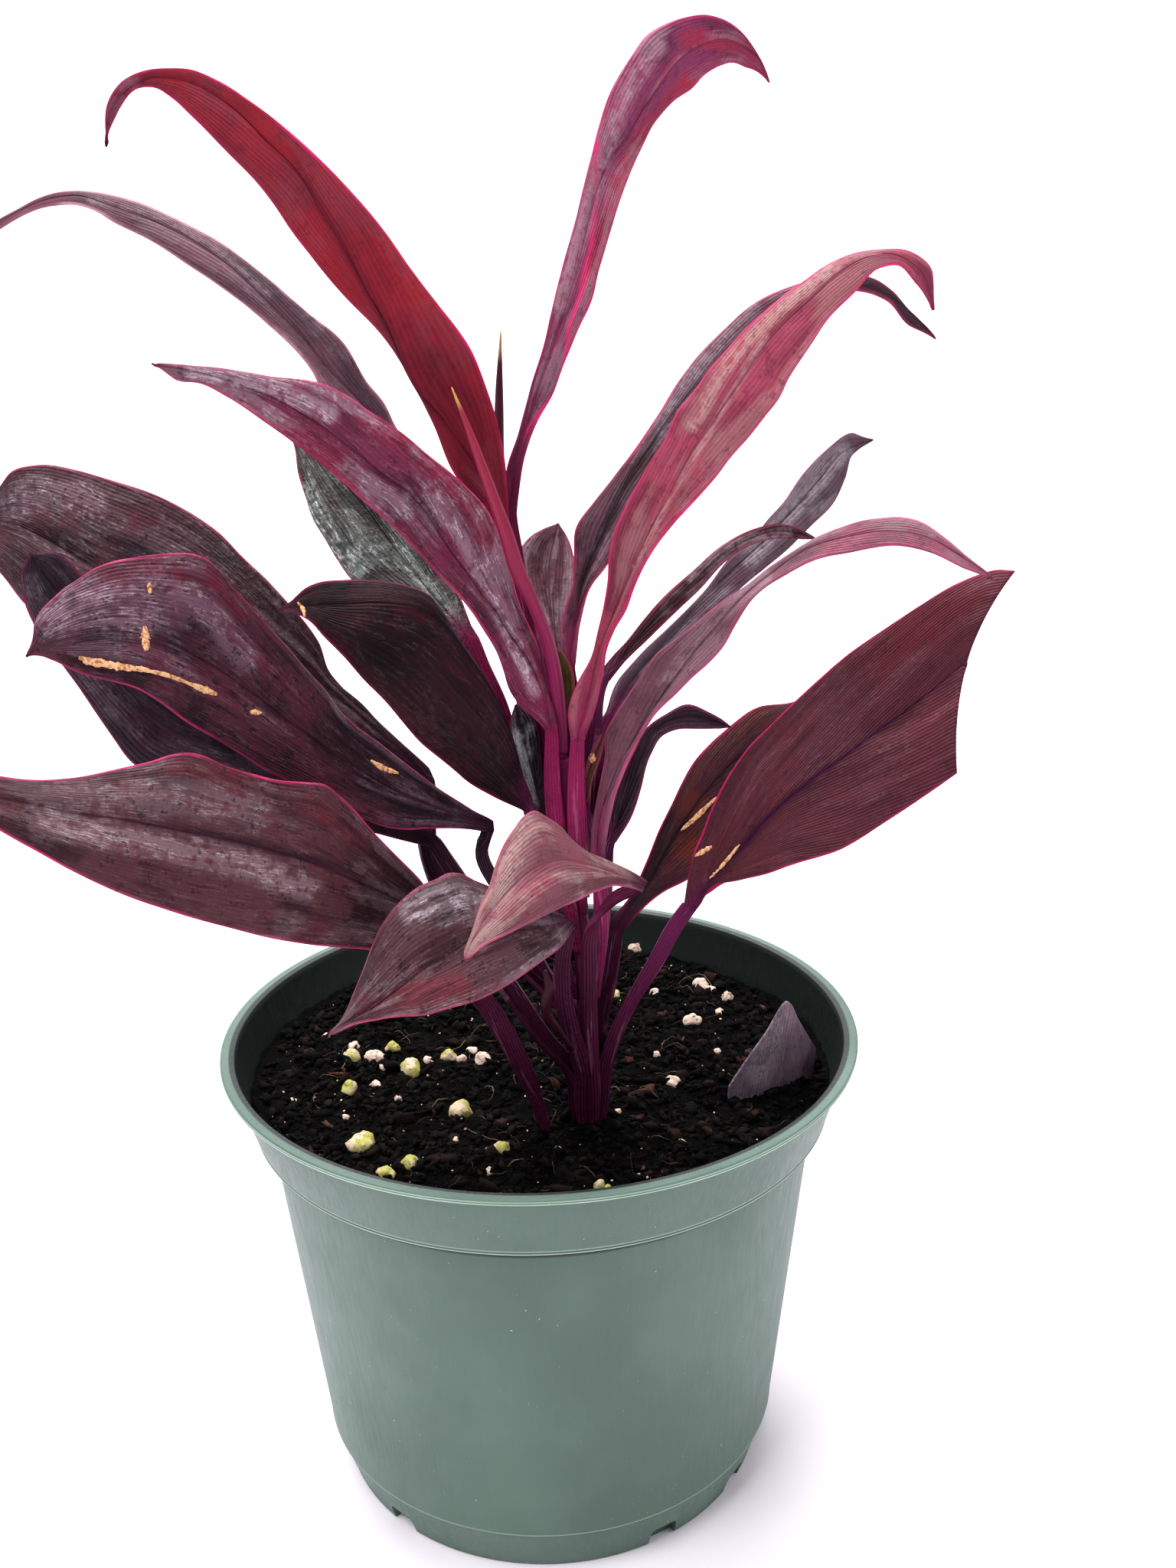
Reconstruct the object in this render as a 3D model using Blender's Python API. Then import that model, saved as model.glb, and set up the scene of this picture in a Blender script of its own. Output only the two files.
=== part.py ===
"""Ti plant in a green plastic nursery pot. Metres, +Z up.

The pot stands on the floor at z = 0 with its middle on the Z axis. The side that is
looked at faces -Y. The plant grows a little in front of the pot's middle.
Sizes below are in millimetres. Leaf lines are read along sight lines: each point is
(x, y) in a 1536 x 2048 view from the eye, and a depth is the world y it lies at.
"""
import math

import bmesh
import bpy
import numpy as np

MM = 0.001
GAP = 0.3

# The eye and its sight lines
EYE = np.array([0.0, -366.0, 308.0])
EYE_TURN = 2.16
EYE_DOWN = 18.1
EYE_ROLL = -1.14
EYE_REACH = 2010.0
VIEW_MIDDLE = (768.0, 1024.0)

# Pot
RIM_RADIUS = 82.5
RIM_INNER = 78.7
RIM_TOP = 122.5
RIM_UNDER = 121.0
BAND_TOP_RADIUS = 80.2
BAND_LOW_RADIUS = 75.3
BAND_LOW = 103.7
WALL_TOP_RADIUS = 71.6
WALL_LOW_RADIUS = 61.6
WALL_LOW = 13.3
FOOT_RADIUS = 57.8
WALL = 1.5
FLOOR_RADIUS = 57.4
SHELF = BAND_LOW + WALL
GUTTER_OUTER = 54.0
GUTTER_INNER = 44.0
GUTTER_RISE = 4.6
FLOOR = 1.8
DRAIN_HOLES = 8
DRAIN_RADIUS = 3.4
NOTCH_ANGLES = (-133, -62, -35, 47, 118, 145)
NOTCH_DEPTH = 2.4
NOTCH_WIDTH = 7.6
NOTCH_RISE = 5.6
POT_SIDES = 48

# Soil
SOIL_TOP = 111.6
SOIL_LUMP = 1.1
SOIL_RINGS = 13
SOIL_SIDES = 48
GRAIN_COUNT = 46
GRAIN_HEIGHT = 1.3
SOIL_SEED = 7

# Stem: points (x, y, depth) from the buried foot to the top
STEM_LINE = [(769, 1492, -33), (768, 1400, -33), (766, 1300, -33), (757, 1200, -33),
             (743, 1072, -33), (733, 990, -33)]
STEM_RADIUS = 2.6
STEM_TOP_RADIUS = 2.1
STEM_SIDES = 14

# Leaf build
BLADE_STEPS = 14
STALK_STEPS = 6
ACROSS = 5
BLADE_THICK = 0.8
RIB_THICK = 1.1
STALK_THICK = 1.5
STALK_WIDTH = 2.9

TALL_RED = dict(
    foot=(146, 180), stalk=[(712, 1080, -31), (704, 1000, -31.5), (690, 900, -31), (672, 790, -30.5)],
    depth=(-30, -14, 16), lift=(0.5, -1.5), bow=0.10,
    mid=[(655, 700), (640, 645), (598, 572), (541, 500), (506, 425), (475, 369), (450, 322), (420, 276),
         (395, 232), (350, 185), (300, 137), (240, 105), (185, 104), (155, 128), (141, 160), (139, 191)],
    left=[(646, 705), (620, 655), (591, 614), (566, 553), (544, 506), (500, 439), (450, 387), (400, 324),
          (350, 257), (300, 202), (250, 149), (225, 127), (203, 114), (176, 116), (158, 138), (146, 165),
          (138, 191)],
    right=[(664, 697), (662, 631), (653, 566), (634, 503), (616, 459), (572, 398), (534, 347), (501, 300),
           (450, 241), (400, 191), (331, 135), (284, 105), (250, 91), (223, 89), (190, 92), (158, 108),
           (141, 135), (137, 160), (140, 191)])

LONG_ARCHING = dict(
    foot=(105, 155), stalk=[(745, 1170, -25), (722, 1060, -19), (690, 930, -12), (645, 790, -8)],
    depth=(-6, 20, 58), lift=(-2, 1.5), bow=0.12,
    mid=[(592, 695), (540, 612), (500, 560), (465, 520), (437, 491), (400, 447), (350, 396), (300, 349),
         (250, 315), (200, 290), (150, 272), (100, 258), (60, 264), (25, 279), (0, 293), (-50, 338)],
    left=[(584, 700), (520, 625), (450, 550), (420, 510), (409, 488), (388, 460), (350, 424), (300, 383),
          (250, 349), (200, 316), (150, 291), (125, 276), (100, 268), (75, 268), (50, 272), (25, 284),
          (0, 299), (-51, 341)],
    right=[(600, 690), (560, 620), (514, 555), (500, 525), (480, 500), (450, 451), (400, 407), (350, 363),
           (300, 326), (250, 297), (200, 272), (150, 255), (100, 250), (75, 252), (50, 260), (25, 274),
           (0, 287), (-49, 335)])

LONG_GLOSSY = dict(
    foot=(-118, 158), stalk=[(734, 1150, -37.8), (727, 1090, -38), (721, 1010, -38)],
    depth=(-38, -52, -86), lift=(-3.5, 3.5), bow=0.12,
    mid=[(719, 947), (697, 879), (681, 851), (662, 826), (644, 797), (622, 769), (600, 738), (575, 701),
         (550, 663), (534, 644), (500, 620), (450, 580), (400, 545), (350, 518), (300, 500), (250, 487),
         (200, 476)],
    left=[(713, 953), (700, 938), (681, 922), (666, 901), (658, 876), (647, 847), (631, 822), (600, 779),
          (575, 754), (550, 727), (525, 701), (500, 677), (475, 655), (450, 632), (425, 611), (400, 591),
          (350, 554), (300, 520), (259, 500), (231, 497), (199, 479)],
    right=[(725, 941), (709, 885), (697, 838), (688, 810), (677, 782), (666, 748), (656, 721), (647, 696),
           (636, 671), (622, 650), (600, 626), (575, 604), (550, 586), (519, 562), (500, 548), (472, 533),
           (450, 519), (425, 505), (400, 498), (350, 491), (300, 484), (250, 480), (201, 473)])

GREY_GLOSSY = dict(
    foot=(160, 155), stalk=[(719, 1190, -31), (704, 1110, -30.5), (689, 1040, -30), (668, 975, -29),
                            (650, 918, -28.5), (630, 875, -28)],
    depth=(-27, -6, 18), lift=(-3, 3), bow=0.10,
    mid=[(609, 828), (575, 790), (544, 752), (525, 728), (500, 697), (475, 663), (440, 620), (405, 580),
         (378, 550)],
    left=[(602, 836), (560, 818), (520, 796), (490, 776), (459, 757), (441, 732), (425, 704), (412, 682),
          (402, 657), (395, 632), (389, 607), (383, 580), (376, 553)],
    right=[(616, 818), (595, 765), (566, 718), (533, 675), (497, 635), (460, 596), (420, 562), (380, 547)])

DARK_CURLED = dict(
    foot=(-160, 146), stalk=[(724, 1200, -35), (703, 1115, -36)],
    depth=(-37, -50, -52), lift=(-4, 4), bow=0.10,
    mid=[(689, 1050), (678, 1005), (662, 950), (641, 904), (616, 866), (581, 822), (548, 796), (500, 788),
         (450, 790), (402, 792), (364, 797)],
    left=[(683, 1056), (650, 1042), (610, 1020), (594, 1007), (572, 988), (550, 969), (525, 941), (500, 913),
          (475, 888), (450, 858), (425, 832), (402, 809), (384, 801), (363, 800)],
    right=[(695, 1048), (680, 1015), (667, 982), (658, 955), (644, 919), (631, 891), (616, 860), (600, 838),
           (587, 816), (573, 794), (562, 779), (531, 765), (500, 759), (475, 758), (450, 759), (416, 763),
           (400, 770), (384, 783), (364, 794)])

FAR_LEFT = dict(
    foot=(178, 114.5), stalk=[(741, 1405, -34), (706, 1362, -34), (657, 1290, -32), (595, 1195, -28.5),
                              (560, 1110, -25.5)],
    depth=(-25, -14, 8), lift=(-6, 5), bow=0.10,
    mid=[(553, 1010), (500, 962), (400, 880), (300, 810), (200, 772), (125, 742), (78, 714), (47, 696),
         (0, 680), (-62, 690)],
    left=[(547, 1018), (490, 985), (400, 935), (300, 890), (200, 860), (100, 830), (31, 788), (0, 746),
          (-35, 712), (-64, 694)],
    right=[(560, 1003), (525, 974), (475, 923), (450, 901), (428, 877), (416, 840), (400, 817), (378, 792),
           (350, 760), (312, 721), (291, 700), (250, 671), (200, 647), (150, 629), (100, 614), (50, 608),
           (19, 616), (0, 640), (-35, 665), (-64, 688)])

SCARRED = dict(
    foot=(-176, 129), stalk=[(727, 1300, -35), (694, 1240, -36.5), (660, 1165, -38), (646, 1115, -38)],
    depth=(-39, -64, -86), lift=(-5, 5), bow=0.10,
    mid=[(638, 1076), (600, 1066), (550, 1048), (500, 1025), (450, 995), (400, 960), (350, 922), (300, 885),
         (250, 855), (200, 833), (150, 825), (100, 832), (60, 844), (34, 857)],
    left=[(636, 1085), (594, 1082), (556, 1082), (534, 1084), (512, 1082), (473, 1069), (430, 1050),
          (369, 1017), (350, 1008), (319, 989), (291, 971), (241, 941), (209, 917), (178, 899), (150, 891),
          (125, 885), (100, 877), (62, 860), (33, 860)],
    right=[(642, 1071), (619, 1062), (600, 1050), (575, 1034), (534, 1000), (500, 975), (434, 922),
           (422, 904), (400, 878), (375, 846), (350, 817), (325, 789), (300, 761), (281, 741), (266, 730),
           (250, 725), (225, 724), (200, 725), (175, 728), (150, 733), (125, 742), (100, 757), (81, 769),
           (66, 783), (50, 802), (39, 833), (33, 855)])

FOLDED = dict(
    foot=(125, 124), stalk=[(738, 1320, -28), (680, 1250, -29), (612, 1170, -31), (583, 1125, -31.5)],
    depth=(-32, -44, -50), lift=(-3, 3), bow=0.10,
    mid=[(562, 1095), (480, 1060), (400, 1020), (300, 975), (200, 915), (135, 850), (90, 790), (55, 745),
         (40, 722)],
    left=[(560, 1104), (480, 1085), (400, 1060), (300, 1040), (230, 1020), (178, 999), (147, 961),
          (125, 930), (100, 894), (81, 868), (44, 814), (33, 786), (28, 755), (26, 735), (36, 720)],
    right=[(566, 1088), (480, 1040), (400, 985), (300, 930), (200, 860), (150, 800), (110, 755), (75, 722),
           (55, 716), (43, 720)])

LOW_LEFT = dict(
    foot=None, stalk=[(709, 1478, -37), (690, 1430, -37), (665, 1375, -38), (637, 1318, -39),
                      (612, 1280, -41)],
    depth=(-42, -86, -112), lift=(-8, 6), bow=0.10,
    mid=[(590, 1248), (560, 1208), (525, 1180), (487, 1161), (450, 1144), (400, 1124), (350, 1110),
         (300, 1097), (250, 1088), (200, 1078), (150, 1069), (100, 1063), (50, 1054), (0, 1045), (-60, 1030),
         (-105, 1012)],
    left=[(582, 1255), (560, 1256), (520, 1250), (483, 1241), (450, 1238), (400, 1232), (350, 1223),
          (300, 1212), (250, 1199), (200, 1182), (150, 1163), (100, 1140), (50, 1113), (0, 1085),
          (-60, 1050), (-106, 1015)],
    right=[(597, 1240), (578, 1195), (550, 1153), (525, 1125), (503, 1103), (484, 1084), (459, 1056),
           (436, 1035), (425, 1026), (400, 1022), (366, 1019), (328, 1010), (291, 999), (262, 987),
           (247, 984), (225, 986), (200, 994), (150, 1006), (100, 1014), (50, 1018), (0, 1015), (-60, 1005),
           (-105, 1009)])

LOW_FRONT = dict(
    foot=(-118, 116), stalk=[(757, 1395, -38), (744, 1350, -40), (735, 1300, -42), (735, 1250, -43)],
    depth=(-43, -72, -72), lift=(-7, 5), bow=0.12,
    mid=[(742, 1205), (700, 1213), (650, 1222), (606, 1234), (588, 1247), (556, 1266), (525, 1291),
         (480, 1325), (430, 1352)],
    left=[(748, 1212), (728, 1238), (706, 1256), (681, 1275), (650, 1294), (619, 1308), (588, 1317),
          (556, 1326), (525, 1328), (494, 1331), (462, 1338), (431, 1355)],
    right=[(737, 1199), (700, 1183), (660, 1165), (638, 1156), (619, 1150), (600, 1142), (584, 1142),
           (569, 1150), (550, 1158), (531, 1172), (516, 1187), (500, 1209), (488, 1234), (475, 1266),
           (462, 1297), (453, 1319), (444, 1336), (428, 1350)])

FRONT_ROSY = dict(
    foot=(-72, 120), stalk=[(770, 1330, -38.5), (770, 1270, -40), (772, 1215, -41), (800, 1175, -44)],
    depth=(-50, -86, -118), lift=(-6, 6), bow=0.10,
    mid=[(838, 1156), (800, 1143), (760, 1130), (725, 1125), (690, 1140), (655, 1175), (625, 1215),
         (606, 1254)],
    left=[(836, 1163), (806, 1157), (781, 1164), (756, 1175), (728, 1187), (697, 1203), (666, 1219),
          (631, 1236), (607, 1257)],
    right=[(842, 1150), (806, 1132), (766, 1112), (747, 1097), (731, 1081), (712, 1068), (697, 1060),
           (681, 1069), (672, 1081), (659, 1100), (647, 1128), (638, 1159), (628, 1184), (619, 1212),
           (604, 1252)])

BIG_CUT = dict(
    foot=(-15, 114.5), stalk=[(799, 1380, -34.5), (813, 1341, -34.5), (834, 1297, -35), (857, 1256, -35),
                             (880, 1212, -35)],
    depth=(-35, -42, -52), lift=(5, -7), bow=0.08, cut=True,
    mid=[(905, 1178), (941, 1138), (962, 1114), (981, 1094), (1000, 1072), (1025, 1048), (1050, 1028),
         (1075, 1008), (1100, 991), (1125, 972), (1150, 953), (1175, 936), (1200, 916), (1225, 897),
         (1262, 866)],
    left=[(894, 1180), (901, 1140), (909, 1109), (919, 1087), (928, 1062), (937, 1041), (948, 1019),
          (962, 997), (978, 975), (1000, 953), (1036, 919), (1075, 884), (1100, 862), (1150, 825),
          (1200, 791), (1250, 762), (1275, 752), (1300, 745), (1326, 746)],
    right=[(913, 1180), (936, 1157), (969, 1149), (1000, 1142), (1025, 1133), (1050, 1125), (1070, 1119),
           (1100, 1108), (1125, 1094), (1150, 1078), (1175, 1062), (1212, 1037), (1250, 1010)])

BEHIND_CUT = dict(
    foot=(48, 126), stalk=[(784, 1330, -27.5), (793, 1280, -25.5), (800, 1240, -24.5)],
    depth=(-24, -6, 16), lift=(2, -2), bow=0.10,
    mid=[(806, 1208), (848, 1150), (886, 1085), (925, 1030), (975, 980), (1035, 935), (1110, 885)],
    left=[(797, 1203), (823, 1172), (845, 1126), (861, 1085), (876, 1054), (889, 1026), (907, 994),
          (923, 976), (951, 951), (989, 924), (1036, 917), (1080, 897), (1110, 883)],
    right=[(815, 1213), (836, 1190), (864, 1167), (901, 1146), (950, 1090), (1000, 1040), (1060, 960),
           (1112, 888)])

UPPER_RIGHT = dict(
    foot=(-72, 168), stalk=[(757, 1110, -38.5), (753, 1050, -39), (753, 1000, -39)],
    depth=(-39, -54, -62), lift=(2.5, -2.5), bow=0.10,
    mid=[(755, 960), (768, 915), (786, 850), (805, 800), (822, 758), (838, 720), (852, 691), (868, 659),
         (883, 631), (905, 591), (927, 559), (942, 537), (967, 500), (999, 453), (1030, 419), (1061, 391),
         (1092, 362), (1124, 341), (1170, 336), (1200, 355), (1219, 405)],
    left=[(746, 962), (744, 925), (756, 892), (775, 858), (783, 826), (790, 795), (795, 760), (794, 725),
          (802, 694), (824, 650), (855, 597), (871, 572), (886, 537), (905, 512), (921, 487), (949, 456),
          (974, 431), (999, 409), (1027, 384), (1055, 364), (1075, 349), (1111, 333), (1150, 327),
          (1186, 329), (1211, 345), (1221, 404)],
    right=[(764, 958), (778, 921), (787, 883), (790, 850), (803, 821), (816, 799), (827, 769), (849, 725),
           (880, 684), (914, 647), (936, 622), (955, 597), (980, 569), (999, 544), (1018, 519), (1030, 494),
           (1046, 469), (1061, 447), (1080, 419), (1114, 384), (1149, 350), (1174, 346), (1192, 365),
           (1216, 406)])

DUSKY = dict(
    foot=(42, 183), stalk=[(761, 1030, -28.3), (758, 950, -28.8)],
    depth=(-29, -6, 22), lift=(1.5, -1.5), bow=0.10,
    mid=[(744, 865), (753, 805), (766, 747), (794, 684), (822, 628), (850, 583), (900, 515), (960, 448),
         (1030, 397), (1090, 372), (1150, 383), (1190, 411), (1221, 442)],
    left=[(737, 867), (733, 820), (740, 790), (749, 765), (750, 730), (752, 690), (775, 656), (800, 626),
          (833, 584), (861, 541), (886, 500), (911, 466), (949, 428), (986, 397), (1030, 375), (1090, 361),
          (1133, 362), (1164, 381), (1186, 407), (1223, 440)],
    right=[(751, 864), (759, 810), (770, 770), (793, 738), (815, 695), (840, 650), (870, 607), (905, 560),
           (950, 503), (1000, 448), (1060, 402), (1120, 380), (1161, 394), (1183, 422), (1219, 445)])

TALL_CENTRE = dict(
    foot=(116, 187), stalk=[(725, 1010, -27), (711, 930, -26), (693, 830, -25), (676, 730, -24)],
    depth=(-23, 4, 42), lift=(0.5, -1.5), bow=0.10,
    mid=[(667, 660), (674, 610), (687, 560), (706, 500), (728, 435), (748, 365), (766, 295), (779, 245),
         (797, 206), (815, 184), (840, 141), (859, 112), (877, 87), (905, 64), (945, 52), (985, 72),
         (1004, 107)],
    left=[(660, 662), (663, 612), (678, 566), (694, 500), (710, 450), (721, 403), (735, 347), (748, 300),
          (760, 253), (771, 209), (782, 166), (799, 116), (815, 88), (829, 67), (843, 48), (874, 30),
          (901, 23), (918, 21), (937, 24), (968, 41), (987, 70), (1006, 106)],
    right=[(675, 658), (686, 595), (702, 550), (722, 515), (740, 465), (755, 430), (770, 397), (784, 350),
           (798, 300), (811, 250), (824, 220), (838, 191), (863, 152), (881, 131), (901, 116), (918, 98),
           (940, 86), (956, 82), (978, 90), (1002, 109)])

SHORT_CENTRE = dict(
    foot=(84, 196), stalk=[(738, 958, -25.6)],
    depth=(-25, -12, -4), lift=(0.5, 0.5), bow=0.10, steps=9, width=2.0,
    mid=[(737, 905), (728, 850), (720, 800), (716, 750), (722, 710), (729, 684)],
    left=[(731, 905), (708, 850), (690, 800), (678, 760), (678, 722), (694, 701), (712, 690), (727, 683)],
    right=[(744, 903), (748, 850), (748, 800), (750, 760), (748, 728), (740, 702), (731, 684)])

NARROW_DARK = dict(
    foot=(4, 194), stalk=[(772, 985, -32), (780, 912, -29.5)],
    depth=(-28, -20, -8), lift=(0.8, -0.8), bow=0.10, steps=11,
    mid=[(790, 882), (812, 860), (842, 824), (875, 790), (905, 761), (938, 730), (975, 706), (1018, 693),
         (1064, 703)],
    left=[(785, 876), (803, 855), (819, 838), (837, 815), (869, 778), (905, 746), (943, 713), (983, 692),
          (1018, 685), (1065, 700)],
    right=[(795, 888), (812, 868), (847, 834), (881, 801), (914, 770), (949, 732), (980, 712), (1018, 703),
           (1064, 706)])

HOOKED_RIGHT = dict(
    foot=(34, 171), stalk=[(777, 1110, -27.6), (778, 1030, -25.5), (784, 975, -22)],
    depth=(-20, 4, 30), lift=(1, -1), bow=0.10,
    mid=[(797, 935), (820, 895), (860, 848), (900, 803), (945, 756), (990, 714), (1030, 672), (1070, 625),
         (1100, 590), (1139, 574)],
    left=[(792, 928), (803, 896), (831, 861), (872, 821), (924, 769), (955, 728), (980, 709), (1002, 680),
          (1021, 659), (1049, 619), (1083, 584), (1110, 566), (1140, 571)],
    right=[(802, 940), (830, 905), (870, 862), (920, 812), (970, 766), (999, 742), (1027, 719), (1058, 688),
           (1088, 656), (1103, 625), (1111, 596), (1138, 577)])

ARCHING_ROSY = dict(
    foot=(-22, 146), stalk=[(788, 1230, -35.5), (784, 1160, -36.8)],
    depth=(-37, -44, -66), lift=(3, -3.5), bow=0.10,
    mid=[(780, 1112), (785, 1070), (794, 1040), (806, 1014), (819, 986), (831, 967), (844, 946), (862, 918),
         (881, 889), (906, 855), (931, 827), (965, 790), (1010, 752), (1060, 718), (1110, 703), (1160, 696),
         (1210, 704), (1250, 726), (1296, 756)],
    left=[(772, 1112), (775, 1077), (781, 1046), (787, 1014), (792, 985), (792, 958), (800, 942),
          (819, 911), (837, 883), (859, 852), (881, 836), (912, 814), (944, 786), (975, 765), (1008, 738),
          (1055, 708), (1099, 689), (1124, 681), (1152, 678), (1177, 677), (1199, 681), (1233, 702),
          (1269, 734), (1298, 754)],
    right=[(788, 1114), (797, 1071), (803, 1039), (816, 1005), (831, 974), (841, 952), (859, 927),
           (881, 908), (903, 886), (928, 864), (944, 846), (962, 815), (985, 780), (1024, 750), (1052, 736),
           (1077, 728), (1108, 722), (1139, 716), (1168, 713), (1199, 717), (1224, 725), (1250, 738),
           (1294, 758)])

BEHIND_RIGHT = dict(
    foot=(52, 152), stalk=[(783, 1210, -27.5), (790, 1150, -25.5)],
    depth=(-24.5, -20, -18), lift=(0.5, -0.5), bow=0.10, steps=11,
    mid=[(796, 1095), (812, 1058), (826, 1018), (838, 984), (855, 953), (880, 938), (905, 934), (930, 941),
         (954, 949)],
    left=[(789, 1090), (800, 1050), (814, 1010), (828, 980), (844, 952), (872, 932), (897, 920),
          (925, 930), (955, 947)],
    right=[(804, 1098), (822, 1070), (837, 1030), (850, 985), (864, 962), (884, 953), (906, 951),
           (930, 951), (954, 951)])

STRIP = dict(
    foot=(-8, 179), stalk=[],
    depth=(-36, -36, -35.5), lift=(0.3, -0.3), bow=0.08, steps=8,
    mid=[(765, 1050), (768, 1015), (776, 990), (789, 956)],
    left=[(760, 1052), (763, 1015), (770, 992), (780, 970), (788, 955)],
    right=[(770, 1048), (774, 1018), (783, 993), (791, 958)])

SHORT_GLOSSY = dict(
    foot=(-160, 176), stalk=[(716, 1105, -34.3)],
    depth=(-34, -34, -34), lift=(-0.3, 0.3), bow=0.10, steps=9,
    mid=[(706, 1056), (697, 1020), (688, 980), (680, 945), (673, 921)],
    left=[(700, 1060), (682, 1020), (671, 991), (667, 962), (668, 938), (672, 920)],
    right=[(711, 1056), (710, 1015), (706, 975), (700, 945), (688, 928), (675, 922)])

OLIVE = dict(
    foot=(42, 202), stalk=[],
    depth=(-31.3, -31.5, -31.5), lift=(0.3, -0.3), bow=0.10, steps=8, width=1.6,
    mid=[(738, 935), (738, 905), (734, 875), (727, 848)],
    left=[(733, 935), (728, 905), (724, 875), (724, 848)],
    right=[(743, 934), (750, 905), (748, 875), (732, 848)])

LEAVES = {
    "leaf_tall_red": (TALL_RED, "8e2036"),
    "leaf_long_arching": (LONG_ARCHING, "7a5560"),
    "leaf_long_glossy": (LONG_GLOSSY, "6e4450"),
    "leaf_grey_glossy": (GREY_GLOSSY, "6a6a68"),
    "leaf_dark_curled": (DARK_CURLED, "35202c"),
    "leaf_far_left": (FAR_LEFT, "5c464c"),
    "leaf_scarred": (SCARRED, "664250"),
    "leaf_folded": (FOLDED, "4a4048"),
    "leaf_low_left": (LOW_LEFT, "5e3e46"),
    "leaf_low_front": (LOW_FRONT, "6a5258"),
    "leaf_front_rosy": (FRONT_ROSY, "9a6472"),
    "leaf_big_cut": (BIG_CUT, "5a343c"),
    "leaf_behind_cut": (BEHIND_CUT, "4a2a34"),
    "leaf_upper_right": (UPPER_RIGHT, "a8586e"),
    "leaf_dusky": (DUSKY, "6e5058"),
    "leaf_tall_centre": (TALL_CENTRE, "9a4c60"),
    "leaf_short_centre": (SHORT_CENTRE, "8a6870"),
    "leaf_narrow_dark": (NARROW_DARK, "4a2a34"),
    "leaf_hooked_right": (HOOKED_RIGHT, "6a5a60"),
    "leaf_arching_rosy": (ARCHING_ROSY, "8a5f66"),
    "leaf_behind_right": (BEHIND_RIGHT, "4e3844"),
    "leaf_torn_strip": (STRIP, "7a5040"),
    "leaf_short_glossy": (SHORT_GLOSSY, "50444c"),
    "leaf_olive": (OLIVE, "6a6038"),
}

# Furled leaves: points (x, y, depth, radius)
SPEAR_LINE = [(732, 982, -33.5, 1.7), (731, 950, -34.5, 1.7), (716, 842, -41, 1.5), (695, 785, -46, 1.4),
              (676, 745, -49, 1.6), (662, 700, -52, 1.5), (646, 655, -54, 1.2), (629, 608, -56, 0.9),
              (611, 558, -57, 0.7), (590, 506, -58, 0.4)]
SPIKE_LINE = [(748, 1110, -28.8, 0.9), (742, 1010, -16, 0.9), (715, 880, -8, 0.9), (680, 740, -5, 0.9),
              (655, 640, -5, 0.9), (651, 512, -5, 0.7), (654, 433, -5, 0.4)]
FURLED_SIDES = 10
FURLED_STEPS = 16
BABY_LINE = [(747, 1370, -41.4, 0.7), (729, 1345, -43.5, 0.9), (713, 1318, -45.5, 1.2), (717, 1290, -46.5, 1.0),
             (712, 1268, -46.5, 0.5)]

# The cut piece of leaf standing in the soil: foot line on the soil and the three upper corners
PIECE_FOOT = ((46.5, -24.5), (58.5, -20.0), (70.0, -13.0))
PIECE_RISE = (4.0, 17.0, 25.5, 19.0, 8.0)
PIECE_LEAN = 4.0
PIECE_SUNK = 3.0
PIECE_THICK = 0.9


def sight_axes():
    """Right, up and forward axes of the eye, as unit vectors."""
    turn, down, roll = np.radians([EYE_TURN, EYE_DOWN, EYE_ROLL])
    forward = np.array([np.sin(turn) * np.cos(down), np.cos(turn) * np.cos(down), -np.sin(down)])
    level = np.array([np.cos(turn), -np.sin(turn), 0.0])
    upright = np.cross(level, forward)
    right = np.cos(roll) * level + np.sin(roll) * upright
    up = -np.sin(roll) * level + np.cos(roll) * upright
    return right, up, forward


def on_sight(x, y, depth):
    """World points in mm where the sight lines through (x, y) reach the given depth."""
    right, up, forward = sight_axes()
    x, y, depth = np.broadcast_arrays(np.asarray(x, float), y, depth)
    across = ((x - VIEW_MIDDLE[0]) / EYE_REACH)[..., None]
    above = ((VIEW_MIDDLE[1] - y) / EYE_REACH)[..., None]
    ray = forward + across * right + above * up
    return EYE + ray * ((depth - EYE[1]) / ray[..., 1])[..., None]


def curve_through(points, steps):
    """A smooth curve through the points, at even steps along it."""
    points = np.asarray(points, float)
    run = np.r_[0.0, np.cumsum(np.linalg.norm(np.diff(points[:, :2], axis=0), axis=1) + 1e-6)]
    slope = np.gradient(points, run, axis=0)
    place = np.linspace(0.0, run[-1], steps)
    index = np.clip(np.searchsorted(run, place, side="right") - 1, 0, len(run) - 2)
    length = (run[index + 1] - run[index])[:, None]
    part = (place[:, None] - run[index][:, None]) / length
    a, b = points[index], points[index + 1]
    start = (1 + 2 * part) * (1 - part) ** 2 * a + part * (1 - part) ** 2 * length * slope[index]
    end = part ** 2 * (3 - 2 * part) * b + part ** 2 * (part - 1) * length * slope[index + 1]
    return start + end


def unit(vectors):
    """Vectors scaled to length one."""
    return vectors / np.maximum(np.linalg.norm(vectors, axis=-1, keepdims=True), 1e-9)


def stem_points(steps):
    """Points along the stem's middle line, from foot to top."""
    line = curve_through(STEM_LINE, steps)
    return on_sight(line[:, 0], line[:, 1], line[:, 2])


def stem_at(height):
    """The stem's middle and radius at a height in mm."""
    points = stem_points(60)
    middle = np.array([np.interp(height, points[:, 2], points[:, axis]) for axis in range(3)])
    part = (height - points[0, 2]) / (points[-1, 2] - points[0, 2])
    return middle, STEM_RADIUS + (STEM_TOP_RADIUS - STEM_RADIUS) * np.clip(part, 0, 1)


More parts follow.
